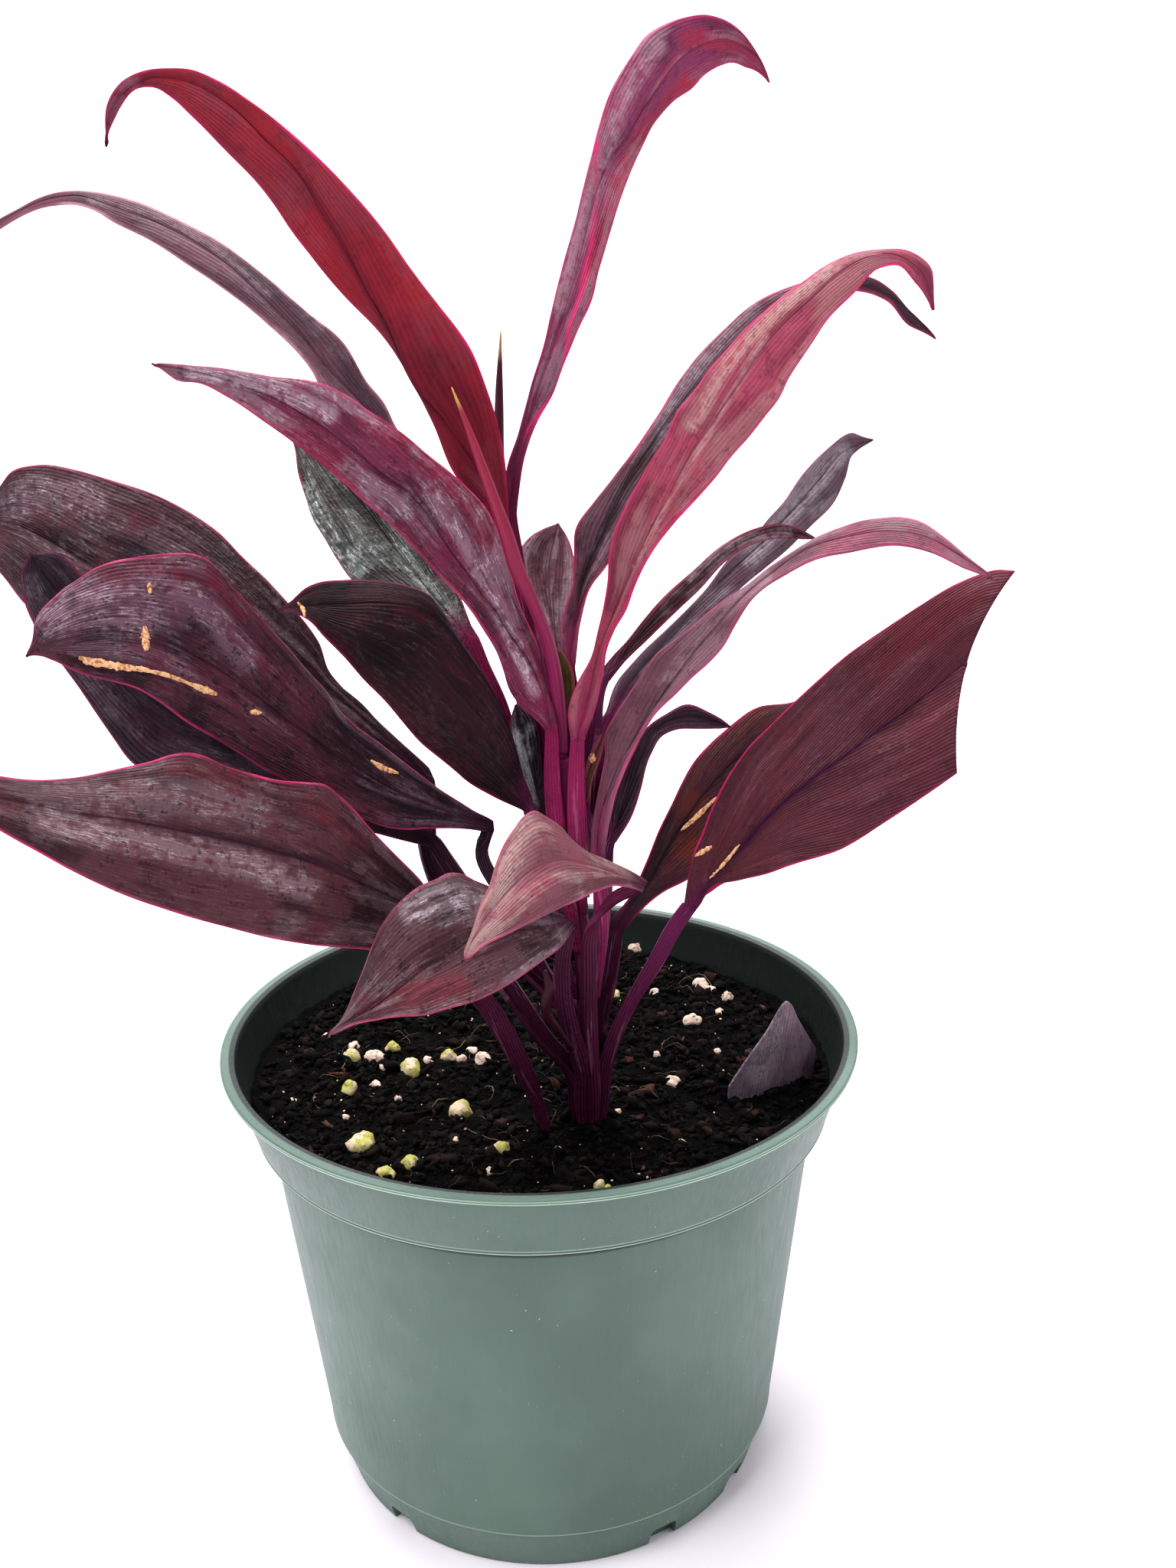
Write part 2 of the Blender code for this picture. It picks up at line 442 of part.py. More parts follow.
def blade_rows(leaf, steps, columns):
    """Grid of points on a blade: steps from base to tip, columns from left margin to right."""
    part = np.linspace(0.0, 1.0, steps)
    low, half, high = leaf["depth"]
    depth = low * (1 - part) * (1 - 2 * part) + 4 * half * part * (1 - part) + high * part * (2 * part - 1)
    swell = np.sin(np.pi * np.clip(part, 0, 1)) ** 0.7
    if leaf.get("cut"):
        swell = np.sin(0.5 * np.pi * np.clip(part * 2, 0, 1))
    lines = {side: curve_through(leaf[side], steps) for side in ("left", "mid", "right")}
    mid = on_sight(lines["mid"][:, 0], lines["mid"][:, 1], depth)
    edges = {side: on_sight(lines[side][:, 0], lines[side][:, 1], depth + lift * swell)
             for side, lift in zip(("left", "right"), leaf["lift"])}
    along = unit(np.gradient(mid, axis=0))
    facing = unit(np.cross(unit(edges["right"] - edges["left"]), along))
    facing *= np.sign(np.sum(facing * (EYE - mid), axis=1, keepdims=True))
    rows = np.zeros((steps, columns, 3))
    for column, place in enumerate(np.linspace(-1.0, 1.0, columns)):
        edge = edges["left"] if place < 0 else edges["right"]
        reach = abs(place)
        width = np.linalg.norm(edge - mid, axis=1, keepdims=True)
        rows[:, column] = mid + reach * (edge - mid) + leaf["bow"] * 4 * reach * (1 - reach) * width * facing
    return rows


def stalk_rows(leaf, blade, steps, columns):
    """Grid of points on a stalk, from its foot at the stem up to the blade's first row."""
    middle = (columns - 1) // 2
    base = blade[0, middle]
    base_across = blade[0, -1] - blade[0, 0]
    points = [on_sight(*point) for point in leaf["stalk"]]
    width = leaf.get("width", STALK_WIDTH)
    if leaf["foot"]:
        angle, height = leaf["foot"]
        outward = np.array([math.cos(math.radians(angle)), math.sin(math.radians(angle)), 0.0])
        first, radius = stem_at(height)
        second, second_radius = stem_at(height + 7.0)
        reach = GAP + STALK_THICK / 2 + 0.1
        points = [first + outward * (radius + reach), second + outward * (second_radius + reach + 1.3)] + points
    else:
        outward = unit(points[0] - stem_at(SOIL_TOP)[0])
        radius = 6.0
    path = np.array(points + [base, blade[1, middle]])
    run = np.r_[0.0, np.cumsum(np.linalg.norm(np.diff(path, axis=0), axis=1))]
    dense = curve_through(np.c_[run, path], 160)
    places = np.linspace(0.0, run[-2], steps + 1)[:-1]
    centre = np.stack([np.interp(places, dense[:, 0], dense[:, 1 + axis]) for axis in range(3)], axis=1)
    along = unit(np.gradient(np.vstack([centre, base]), axis=0))[:-1]
    foot_across = unit(np.cross(along[0], outward))
    foot_across = foot_across * (np.sign(np.dot(foot_across, base_across)) or 1.0)
    part = (places / run[-2])[:, None]
    turned = (1 - part) * foot_across + part * unit(base_across)
    across = unit(turned - along * np.sum(turned * along, axis=1, keepdims=True))
    normal = np.cross(along, across)
    inward = -np.sign(np.dot(normal[0], outward))
    base_normal = unit(np.cross(unit(blade[1, middle] - base), unit(base_across)))
    hollow = 0.5 * np.dot(blade[0, 0] + blade[0, -1] - 2 * base, base_normal)
    span = np.linalg.norm(base_across)
    wide = (1 - part) * width + part * span
    ring = radius + GAP + STALK_THICK / 2
    foot_rise = ring - math.sqrt(max(ring ** 2 - (width / 2) ** 2, 0.0))
    rise = (1 - part) * inward * foot_rise + part * hollow
    rows = np.zeros((steps, columns, 3))
    for column, place in enumerate(np.linspace(-1.0, 1.0, columns)):
        rows[:, column] = centre + across * wide * 0.5 * place + normal * rise * place ** 2
    return rows


def thickness_grid(stalk_steps, steps, columns):
    """Thickness in mm over the leaf: stout at the stalk, thin at the margins."""
    rib = RIB_THICK - (RIB_THICK - BLADE_THICK) * np.abs(np.linspace(-1, 1, columns)) ** 0.5
    part = np.clip(np.arange(steps) / 4.0, 0, 1)[:, None]
    blade = (1 - part) * STALK_THICK * 0.85 + part * rib[None, :]
    stalk = np.full((stalk_steps, columns), STALK_THICK)
    return np.vstack([stalk, blade])


def leaf_surface(leaf, stalk_steps, steps, columns):
    """Middle surface and thickness of a whole leaf, stalk and blade."""
    blade = blade_rows(leaf, steps, columns)
    stalk = stalk_rows(leaf, blade, stalk_steps, columns)
    return np.vstack([stalk, blade]), thickness_grid(stalk_steps, steps, columns)


def thicken(surface, thick):
    """Two faces of a sheet of points, split into triangles alike on both faces, as one closed solid."""
    steps, columns = thick.shape
    along = unit(np.gradient(surface, axis=0))
    across = unit(np.gradient(surface, axis=1))
    normal = unit(np.cross(along, across))
    front = (surface + normal * thick[..., None] / 2).reshape(-1, 3)
    back = (surface - normal * thick[..., None] / 2).reshape(-1, 3)
    count = steps * columns
    faces = []
    for i in range(steps - 1):
        for j in range(columns - 1):
            a, b = i * columns + j, i * columns + j + 1
            c, d = a + columns, b + columns
            cut = ((a, c, b), (b, c, d)) if j < (columns - 1) // 2 else ((a, c, d), (a, d, b))
            for tri in cut:
                faces.append(tri)
                faces.append(tuple(corner + count for corner in reversed(tri)))
    loop = [(0, j) for j in range(columns)] + [(i, columns - 1) for i in range(1, steps)]
    loop += [(steps - 1, j) for j in range(columns - 2, -1, -1)] + [(i, 0) for i in range(steps - 2, 0, -1)]
    loop = [i * columns + j for i, j in loop]
    for a, b in zip(loop, loop[1:] + loop[:1]):
        faces.append((a, b, b + count))
        faces.append((a, b + count, a + count))
    return np.vstack([front, back]), faces


def linear(code):
    """Linear colour from an sRGB hex code."""
    values = [int(code[i:i + 2], 16) / 255 for i in (0, 2, 4)]
    return [v / 12.92 if v <= 0.04045 else ((v + 0.055) / 1.055) ** 2.4 for v in values] + [1.0]


def make_material(name, code, roughness):
    """A plain surface with one colour."""
    material = bpy.data.materials.new(name)
    material.use_nodes = True
    shader = material.node_tree.nodes["Principled BSDF"]
    shader.inputs["Base Color"].default_value = linear(code)
    shader.inputs["Roughness"].default_value = roughness
    shader.inputs["Metallic"].default_value = 0.0
    material.diffuse_color = linear(code)
    return material


def add_object(name, points, faces, material):
    """A mesh object from points in mm, with its faces turned outward."""
    mesh = bpy.data.meshes.new(name)
    mesh.from_pydata([tuple(point) for point in np.asarray(points) * MM], [], faces)
    form = bmesh.new()
    form.from_mesh(mesh)
    bmesh.ops.recalc_face_normals(form, faces=form.faces)
    if form.calc_volume(signed=True) < 0:
        bmesh.ops.reverse_faces(form, faces=form.faces)
    form.to_mesh(mesh)
    form.free()
    if material:
        mesh.materials.append(material)
    thing = bpy.data.objects.new(name, mesh)
    bpy.context.scene.collection.objects.link(thing)
    return thing


def lathe(profile, sides):
    """Points and faces of a closed profile of (radius, height) turned about Z; radius 0 is the axis."""
    points, faces, rings = [], [], []
    for radius, height in profile:
        if radius == 0:
            rings.append([len(points)] * sides)
            points.append((0.0, 0.0, height))
            continue
        rings.append(list(range(len(points), len(points) + sides)))
        for side in range(sides):
            angle = 2 * math.pi * side / sides
            points.append((radius * math.cos(angle), radius * math.sin(angle), height))
    pairs = list(zip(rings, rings[1:]))
    if profile[0][0] != 0:
        pairs.append((rings[-1], rings[0]))
    for upper, lower in pairs:
        for side in range(sides):
            after = (side + 1) % sides
            ring = [upper[side], upper[after], lower[after], lower[side]]
            face = [corner for place, corner in enumerate(ring) if corner not in ring[:place]]
            if len(face) > 2:
                faces.append(face)
    return points, faces


def pot_profile():
    """The pot's cut half, from the middle of its underside round to the middle of its floor."""
    return [
        (0, 0.0), (GUTTER_INNER, 0.0), (GUTTER_INNER + 0.8, GUTTER_RISE), (GUTTER_OUTER, GUTTER_RISE),
        (GUTTER_OUTER + 0.4, 0.4), (GUTTER_OUTER + 0.9, 0.0), (FOOT_RADIUS - 0.9, 0.0),
        (FOOT_RADIUS - 0.2, 0.5), (FOOT_RADIUS, 1.3), (WALL_LOW_RADIUS - 0.1, WALL_LOW - 0.4),
        (WALL_LOW_RADIUS + 0.3, WALL_LOW), (WALL_LOW_RADIUS + 0.25, WALL_LOW + 0.5),
        (WALL_TOP_RADIUS, BAND_LOW - 0.3), (BAND_LOW_RADIUS - 0.3, BAND_LOW),
        (BAND_LOW_RADIUS, BAND_LOW + 0.4), (BAND_TOP_RADIUS, RIM_UNDER - 0.6),
        (RIM_RADIUS - 0.3, RIM_UNDER), (RIM_RADIUS, RIM_UNDER + 0.4), (RIM_RADIUS, RIM_TOP - 0.5),
        (RIM_RADIUS - 0.5, RIM_TOP), (RIM_INNER, RIM_TOP),
        (BAND_TOP_RADIUS - WALL - 0.1, RIM_UNDER - 1.0), (BAND_LOW_RADIUS - WALL, SHELF + 0.4),
        (WALL_TOP_RADIUS - WALL, SHELF - 0.3), (WALL_LOW_RADIUS - WALL, WALL_LOW + 0.6),
        (FLOOR_RADIUS, GUTTER_RISE + FLOOR + 0.6),
        (FLOOR_RADIUS - 0.8, GUTTER_RISE + FLOOR), (GUTTER_INNER - 0.6, GUTTER_RISE + FLOOR),
        (GUTTER_INNER - 1.4, FLOOR), (0, FLOOR)]


def cut_with(thing, cutters, solver="EXACT"):
    """Cuts the cutters out of a thing and removes them."""
    for cutter in cutters:
        step = thing.modifiers.new("Cut", "BOOLEAN")
        step.operation = "DIFFERENCE"
        step.solver = solver
        step.object = cutter
    bpy.context.view_layer.update()
    bpy.context.view_layer.objects.active = thing
    for step in list(thing.modifiers):
        bpy.ops.object.modifier_apply(modifier=step.name)
    for cutter in cutters:
        bpy.data.objects.remove(cutter)


def rod(name, start, end, radius, sides):
    """A plain round rod between two points in mm, as a cutter."""
    start, end = np.asarray(start, float), np.asarray(end, float)
    along = unit(end - start)
    side = unit(np.cross(along, [0.31, 0.17, 0.94]))
    up = np.cross(along, side)
    turn = 2 * np.pi * np.arange(sides) / sides
    ring = radius * (np.cos(turn)[:, None] * side + np.sin(turn)[:, None] * up)
    points = np.vstack([start + ring, end + ring])
    faces = [(k, (k + 1) % sides, sides + (k + 1) % sides, sides + k) for k in range(sides)]
    faces += [tuple(range(sides)), tuple(range(2 * sides - 1, sides - 1, -1))]
    return add_object(name, points, faces, None)


def notch_block(c, s):
    """The scoop of one foot notch, as a cutter: a block with sloped shoulders that leaves a face behind it."""
    half, top = NOTCH_WIDTH / 2, NOTCH_RISE
    section = [(-half, -1.0), (half, -1.0), (half - 0.3, top - 1.6), (half - 1.5, top),
               (1.5 - half, top), (0.3 - half, top - 1.6)]
    points = [(r * c - t * s, r * s + t * c, z)
              for r in (FOOT_RADIUS - NOTCH_DEPTH, FOOT_RADIUS + 8) for t, z in section]
    count = len(section)
    faces = [tuple(range(count)), tuple(range(2 * count - 1, count - 1, -1))]
    faces += [(k, k + count, (k + 1) % count + count, (k + 1) % count) for k in range(count)]
    return add_object("notch", np.array(points), faces, None)


def make_pot():
    """The moulded pot, with drain holes in its gutter and notches in its foot."""
    points, faces = lathe(pot_profile(), POT_SIDES)
    pot = add_object("pot", points, faces, make_material("green_plastic", "6e8a7b", 0.55))
    cutters = []
    for k in range(DRAIN_HOLES):
        angle = 2 * math.pi * (k + 0.5) / DRAIN_HOLES
        middle = (GUTTER_INNER + GUTTER_OUTER) / 2 + 0.2
        x, y = middle * math.cos(angle), middle * math.sin(angle)
        cutters.append(rod("drain", (x, y, 1.0), (x, y, 9.0), DRAIN_RADIUS, 12))
    for degrees in NOTCH_ANGLES:
        c, s = math.cos(math.radians(degrees)), math.sin(math.radians(degrees))
        cutters.append(notch_block(c, s))
    cut_with(pot, cutters)
    return pot


def soil_height(x, y, grains):
    """Height of the soil's top: slow swells, fine crumbs and the grains that stand out of it."""
    lump = (0.5 * np.sin(0.13 * x + 1.1) * np.cos(0.11 * y) + 0.3 * np.sin(0.37 * x + 0.29 * y)
            + 0.35 * np.sin(0.71 * x - 0.53 * y + 0.7))
    height = SOIL_TOP + SOIL_LUMP * lump
    for gx, gy, size in grains:
        height = np.maximum(height, SOIL_TOP + GRAIN_HEIGHT + SOIL_LUMP * 0.6
                            - ((x - gx) ** 2 + (y - gy) ** 2) / size ** 2)
    near = np.hypot(x - stem_at(SOIL_TOP)[0][0], y - stem_at(SOIL_TOP)[0][1])
    calm = np.clip((near - 9.0) / 6.0, 0, 1)
    return SOIL_TOP + (height - SOIL_TOP) * calm


def make_soil():
    """The potting mix: fills the pot, lumpy on top, with plain holes for what stands in it."""
    draw = np.random.default_rng(SOIL_SEED)
    reach = BAND_LOW_RADIUS - WALL - GAP - 0.2
    angle = draw.uniform(0, 2 * np.pi, GRAIN_COUNT)
    place = np.sqrt(draw.uniform(0.05, 0.85, GRAIN_COUNT)) * reach
    grains = list(zip(place * np.cos(angle), place * np.sin(angle), draw.uniform(1.6, 2.8, GRAIN_COUNT)))
    slope = (BAND_TOP_RADIUS - BAND_LOW_RADIUS) / (RIM_UNDER - 1.4 - SHELF)
    edge = BAND_LOW_RADIUS - WALL + slope * (SOIL_TOP - SHELF - 0.4) - GAP - 0.15
    profile = [(0, FLOOR + GAP), (GUTTER_INNER - 2.0, FLOOR + GAP), (GUTTER_INNER - 1.2, GUTTER_RISE + FLOOR + GAP),
               (FLOOR_RADIUS - 1.4, GUTTER_RISE + FLOOR + GAP), (FLOOR_RADIUS - 0.5, GUTTER_RISE + FLOOR + 1.4),
               (WALL_LOW_RADIUS - WALL - 0.45, WALL_LOW + 0.9), (WALL_TOP_RADIUS - WALL - 0.45, SHELF),
               (BAND_LOW_RADIUS - WALL - 0.45, SHELF + 1.0)]
    rings = [edge * (1 - (k / SOIL_RINGS)) for k in range(SOIL_RINGS)]
    profile += [(radius, SOIL_TOP) for radius in rings] + [(0, SOIL_TOP)]
    points, faces = lathe(profile, SOIL_SIDES)
    points = np.array(points)
    top = points[:, 2] > SOIL_TOP - 0.01
    wobble = 0.35 * edge / SOIL_RINGS
    inside = top & (np.hypot(points[:, 0], points[:, 1]) < edge - 1)
    room = np.minimum(wobble, 0.3 * 2 * np.pi * np.hypot(points[:, 0], points[:, 1]) / SOIL_SIDES)
    points[:, :2] += draw.uniform(-1, 1, (len(points), 2)) * (room * inside)[:, None] * 0.6
    points[top, 2] = soil_height(points[top, 0], points[top, 1], grains)
    soil = add_object("soil", points, faces, make_material("potting_mix", "16110f", 0.95))
    stem = stem_points(40)
    low_stem = stem[stem[:, 2] < SOIL_TOP + 6]
    stalk = on_sight(*LOW_LEFT["stalk"][0])
    rise = unit(on_sight(*LOW_LEFT["stalk"][1]) - stalk)
    cutters = [rod("stem_hole", low_stem[0] - [0, 0, 1.0], low_stem[-1] + [0, 0, 1.0], STEM_RADIUS + 0.6, 16),
               rod("stalk_hole", stalk - rise * 1.2, stalk + rise * 9, STALK_WIDTH / 2 + 0.8, 12)]
    surface, thick = piece_surface(1.2)
    points, faces = thicken(surface, thick + 1.2)
    cutters.append(add_object("piece_slot", points, faces, None))
    cut_with(soil, cutters)
    return soil


def piece_surface(extra):
    """The cut leaf piece as a sheet of points; extra lengthens it all round for its slot."""
    foot = np.array(PIECE_FOOT, float)
    line = curve_through(foot, 7)
    ends = unit(line[-1] - line[0])
    line[0] -= ends * extra
    line[-1] += ends * extra
    rise = np.interp(np.linspace(0, 1, 7), np.linspace(0, 1, len(PIECE_RISE)), PIECE_RISE)
    lean = np.array([ends[1], -ends[0]])
    rows = []
    for part in np.linspace(0, 1, 5):
        height = -(PIECE_SUNK + extra) + part * (rise + PIECE_SUNK + extra)
        shift = np.clip(height, 0, None)[:, None] / 21.5 * PIECE_LEAN
        rows.append(np.c_[line + lean * shift * 0.6, SOIL_TOP + height])
    return np.array(rows), np.full((5, 7), PIECE_THICK)


def make_piece():
    """The cut piece of leaf that stands in the soil."""
    surface, thick = piece_surface(0.0)
    points, faces = thicken(surface, thick)
    return add_object("leaf_piece", points, faces, make_material("cut_leaf", "6a5262", 0.5))


def tube(points, radii, sides):
    """Points and faces of a closed tube along a line."""
    along = unit(np.gradient(points, axis=0))
    side = unit(np.cross(along, [0.0, 1.0, 0.0]))
    up = np.cross(along, side)
    turn = 2 * np.pi * np.arange(sides) / sides
    ring = np.cos(turn)[None, :, None] * side[:, None, :] + np.sin(turn)[None, :, None] * up[:, None, :]
    rings = points[:, None, :] + ring * np.asarray(radii)[:, None, None]
    faces = []
    for i in range(len(points) - 1):
        for k in range(sides):
            after = (k + 1) % sides
            faces.append((i * sides + k, i * sides + after, (i + 1) * sides + after, (i + 1) * sides + k))
    last = (len(points) - 1) * sides
    faces.append(tuple(range(sides - 1, -1, -1)))
    faces.append(tuple(range(last, last + sides)))
    return rings.reshape(-1, 3), faces


def make_stem():
    """The short cane that carries the leaves."""
    points = stem_points(14)
    radii = np.linspace(STEM_RADIUS, STEM_TOP_RADIUS, 14)
    surface, faces = tube(points, radii, STEM_SIDES)
    return add_object("stem", surface, faces, make_material("purple_cane", "4a1238", 0.5))


def make_furled(name, line, material):
    """A furled young leaf: a tapering tube along a smooth line."""
    line = curve_through(line, FURLED_STEPS)
    points = on_sight(line[:, 0], line[:, 1], line[:, 2])
    surface, faces = tube(points, np.maximum(line[:, 3], 0.35), FURLED_SIDES)
    return add_object(name, surface, faces, material)


def make_leaf(name, leaf, code):
    """One leaf, its stalk and blade in one closed solid."""
    steps = leaf.get("steps", BLADE_STEPS)
    surface, thick = leaf_surface(leaf, STALK_STEPS, steps, ACROSS)
    points, faces = thicken(surface, thick)
    return add_object(name, points, faces, make_material(name + "_skin", code, 0.38))


def main():
    for thing in list(bpy.data.objects):
        bpy.data.objects.remove(thing)
    make_pot()
    make_soil()
    make_stem()
    for name, (leaf, code) in LEAVES.items():
        make_leaf(name, leaf, code)
    make_furled("spear", SPEAR_LINE, make_material("furled_leaf", "7a2848", 0.4))
    make_furled("spike", SPIKE_LINE, make_material("furled_tip", "3a1828", 0.45))
    make_furled("baby_leaf", BABY_LINE, make_material("young_leaf", "8a1a50", 0.4))
    make_piece()


main()
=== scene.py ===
import math
from functools import partial

import bpy
import numpy as np
from mathutils import Matrix
from bpy.props import FloatProperty, FloatVectorProperty, IntProperty, PointerProperty


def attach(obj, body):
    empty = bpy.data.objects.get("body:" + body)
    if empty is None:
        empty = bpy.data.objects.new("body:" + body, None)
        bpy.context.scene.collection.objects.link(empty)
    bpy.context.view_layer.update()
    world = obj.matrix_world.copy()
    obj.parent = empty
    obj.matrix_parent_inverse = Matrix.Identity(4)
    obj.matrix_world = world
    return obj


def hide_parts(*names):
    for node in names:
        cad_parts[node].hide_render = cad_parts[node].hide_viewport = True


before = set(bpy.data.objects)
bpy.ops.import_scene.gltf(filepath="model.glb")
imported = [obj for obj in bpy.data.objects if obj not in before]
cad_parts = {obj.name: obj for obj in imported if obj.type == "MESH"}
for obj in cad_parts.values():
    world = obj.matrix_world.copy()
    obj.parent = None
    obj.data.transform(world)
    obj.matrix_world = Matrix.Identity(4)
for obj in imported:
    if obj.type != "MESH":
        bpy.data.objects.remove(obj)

bl_info = {
    "name": "Potted ti plant",
    "version": (1, 0, 0),
    "blender": (4, 5, 0),
    "location": "3D View > Sidebar > Ti plant",
    "description": "Leaves, stalks, potting mix and nursery pot of a ti plant",
    "category": "Object",
}

# Sizes are in millimetres and become metres where a mesh is made.
# Leaf lines are read along sight lines: (x, y) in a 1536 x 2048 view from the eye,
# and a depth is the world y that the point lies at.
MM = 0.001
GAP = 0.3

# The eye and its sight lines
EYE = np.array([0.0, -366.0, 308.0])
EYE_TURN = 2.16
EYE_DOWN = 18.1
EYE_ROLL = -1.14
EYE_REACH = 2010.0
VIEW_MIDDLE = (768.0, 1024.0)
VIEW_HEIGHT = 2048.0

# Pot
RIM_RADIUS = 82.5
RIM_INNER = 78.7
RIM_TOP = 122.5
RIM_UNDER = 121.0
BAND_TOP_RADIUS = 80.2
BAND_LOW_RADIUS = 75.3
BAND_LOW = 103.7
WALL_TOP_RADIUS = 71.6
WALL_LOW_RADIUS = 61.6
WALL_LOW = 13.3
FOOT_RADIUS = 57.8
WALL = 1.5
FLOOR_RADIUS = 57.4
SHELF = BAND_LOW + WALL
GUTTER_OUTER = 54.0
GUTTER_INNER = 44.0
GUTTER_RISE = 4.6
FLOOR = 1.8
DRAIN_HOLES = 8
DRAIN_RADIUS = 3.4
NOTCH_ANGLES = (-133, -62, -35, 47, 118, 145)
NOTCH_DEPTH = 2.4
NOTCH_WIDTH = 7.6
NOTCH_RISE = 5.6

# The inner wall's line, radius in metres over height, that parts its painted shade from the outside
INNER_SLOPE = (BAND_TOP_RADIUS - BAND_LOW_RADIUS) / (RIM_UNDER - 1.4 - SHELF)
INNER_FOOT = (BAND_LOW_RADIUS - WALL / 2 - INNER_SLOPE * (SHELF + 0.4)) * MM

# Painted highlights along moulded edges: height and strength
EDGE_HIGHLIGHTS = ((WALL_LOW + 0.1, 0.3), (BAND_LOW + 0.3, 0.75), (BAND_LOW + 1.1, 0.5), (RIM_UNDER + 0.35, 0.85),
              (RIM_UNDER + 0.95, 0.6))

# Potting mix
SOIL_TOP = 111.6

# Stem: points (x, y, depth) from the buried foot to the top
STEM_LINE = [(769, 1492, -33), (768, 1400, -33), (766, 1300, -33), (757, 1200, -33),
             (743, 1072, -33), (733, 990, -33)]
STEM_RADIUS = 2.6
STEM_TOP_RADIUS = 2.1

# Stalks and blades
RIB_THICK = 1.0
RIB_REACH = 1.6
MARGIN_THICK = 0.45
STALK_THICK = 1.5
STALK_WIDTH = 3.6
STALK_STEPS = 40
CLASP = GAP + STALK_THICK / 2 - 0.5
CLASP_RISE = 7.0
CLASP_FLARE = 1.3
LOW_FOOT = 121.0
LOW_FOOT_SUNK = 3.0
OPEN_FOOT_RADIUS = 6.0
TIP_SHARE = 0.05
TIP_WIDTH = 0.06
RIPPLE = 0.35
RIPPLE_LENGTH = 6.0

# Healed scars, and how many places of the view make 1 mm at the leaves and at the mix
SCAR_STEPS = 22
SCAR_RISE = 0.3
SCAR_EDGE = 0.08
LEAF_VIEW_SCALE = 5.3
MIX_VIEW_SCALE = 5.2

TALL_RED = dict(
    foot=(146, 180), stalk=[(712, 1080, -31), (704, 1000, -31.5), (690, 900, -31), (672, 790, -30.5)],
    depth=(-30, -14, 16), lift=(0.5, -1.5), bow=0.10,
    mid=[(655, 700), (640, 645), (598, 572), (541, 500), (506, 425), (475, 369), (450, 322), (420, 276),
         (395, 232), (350, 185), (300, 137), (240, 105), (185, 104), (155, 128), (141, 160), (139, 191)],
    left=[(646, 705), (620, 655), (591, 614), (566, 553), (544, 506), (500, 439), (450, 387), (400, 324),
          (350, 257), (300, 202), (250, 149), (225, 127), (203, 114), (176, 116), (158, 138), (146, 165),
          (138, 191)],
    right=[(664, 697), (662, 631), (653, 566), (634, 503), (616, 459), (572, 398), (534, 347), (501, 300),
           (450, 241), (400, 191), (331, 135), (284, 105), (250, 91), (223, 89), (190, 92), (158, 108),
           (141, 135), (137, 160), (140, 191)])

LONG_ARCHING = dict(
    foot=(105, 155), stalk=[(745, 1170, -25), (722, 1060, -19), (690, 930, -12), (645, 790, -8)],
    depth=(-6, 20, 58), lift=(-2, 1.5), bow=0.12,
    mid=[(592, 695), (540, 612), (500, 560), (465, 520), (437, 491), (400, 447), (350, 396), (300, 349),
         (250, 315), (200, 290), (150, 272), (100, 258), (60, 264), (25, 279), (0, 293), (-50, 338)],
    left=[(584, 700), (520, 625), (450, 550), (420, 510), (409, 488), (388, 460), (350, 424), (300, 383),
          (250, 349), (200, 316), (150, 291), (125, 276), (100, 268), (75, 268), (50, 272), (25, 284),
          (0, 299), (-51, 341)],
    right=[(600, 690), (560, 620), (514, 555), (500, 525), (480, 500), (450, 451), (400, 407), (350, 363),
           (300, 326), (250, 297), (200, 272), (150, 255), (100, 250), (75, 252), (50, 260), (25, 274),
           (0, 287), (-49, 335)])

LONG_GLOSSY = dict(
    foot=(-118, 158), stalk=[(734, 1150, -37.8), (727, 1090, -38), (721, 1010, -38)],
    depth=(-38, -52, -86), lift=(-3.5, 3.5), bow=0.12,
    mid=[(719, 947), (697, 879), (681, 851), (662, 826), (644, 797), (622, 769), (600, 738), (575, 701),
         (550, 663), (534, 644), (500, 620), (450, 580), (400, 545), (350, 518), (300, 500), (250, 487),
         (200, 476)],
    left=[(713, 953), (700, 938), (681, 922), (666, 901), (658, 876), (647, 847), (631, 822), (600, 779),
          (575, 754), (550, 727), (525, 701), (500, 677), (475, 655), (450, 632), (425, 611), (400, 591),
          (350, 554), (300, 520), (259, 500), (231, 497), (199, 479)],
    right=[(725, 941), (709, 885), (697, 838), (688, 810), (677, 782), (666, 748), (656, 721), (647, 696),
           (636, 671), (622, 650), (600, 626), (575, 604), (550, 586), (519, 562), (500, 548), (472, 533),
           (450, 519), (425, 505), (400, 498), (350, 491), (300, 484), (250, 480), (201, 473)])

GREY_GLOSSY = dict(
    foot=(160, 155), stalk=[(719, 1190, -31), (704, 1110, -30.5), (689, 1040, -30), (668, 975, -29),
                            (650, 918, -28.5), (630, 875, -28)],
    depth=(-27, -6, 18), lift=(-3, 3), bow=0.10,
    mid=[(609, 828), (575, 790), (544, 752), (525, 728), (500, 697), (475, 663), (440, 620), (405, 580),
         (378, 550)],
    left=[(602, 836), (560, 818), (520, 796), (490, 776), (459, 757), (441, 732), (425, 704), (412, 682),
          (402, 657), (395, 632), (389, 607), (383, 580), (376, 553)],
    right=[(616, 818), (595, 765), (566, 718), (533, 675), (497, 635), (460, 596), (420, 562), (380, 547)])

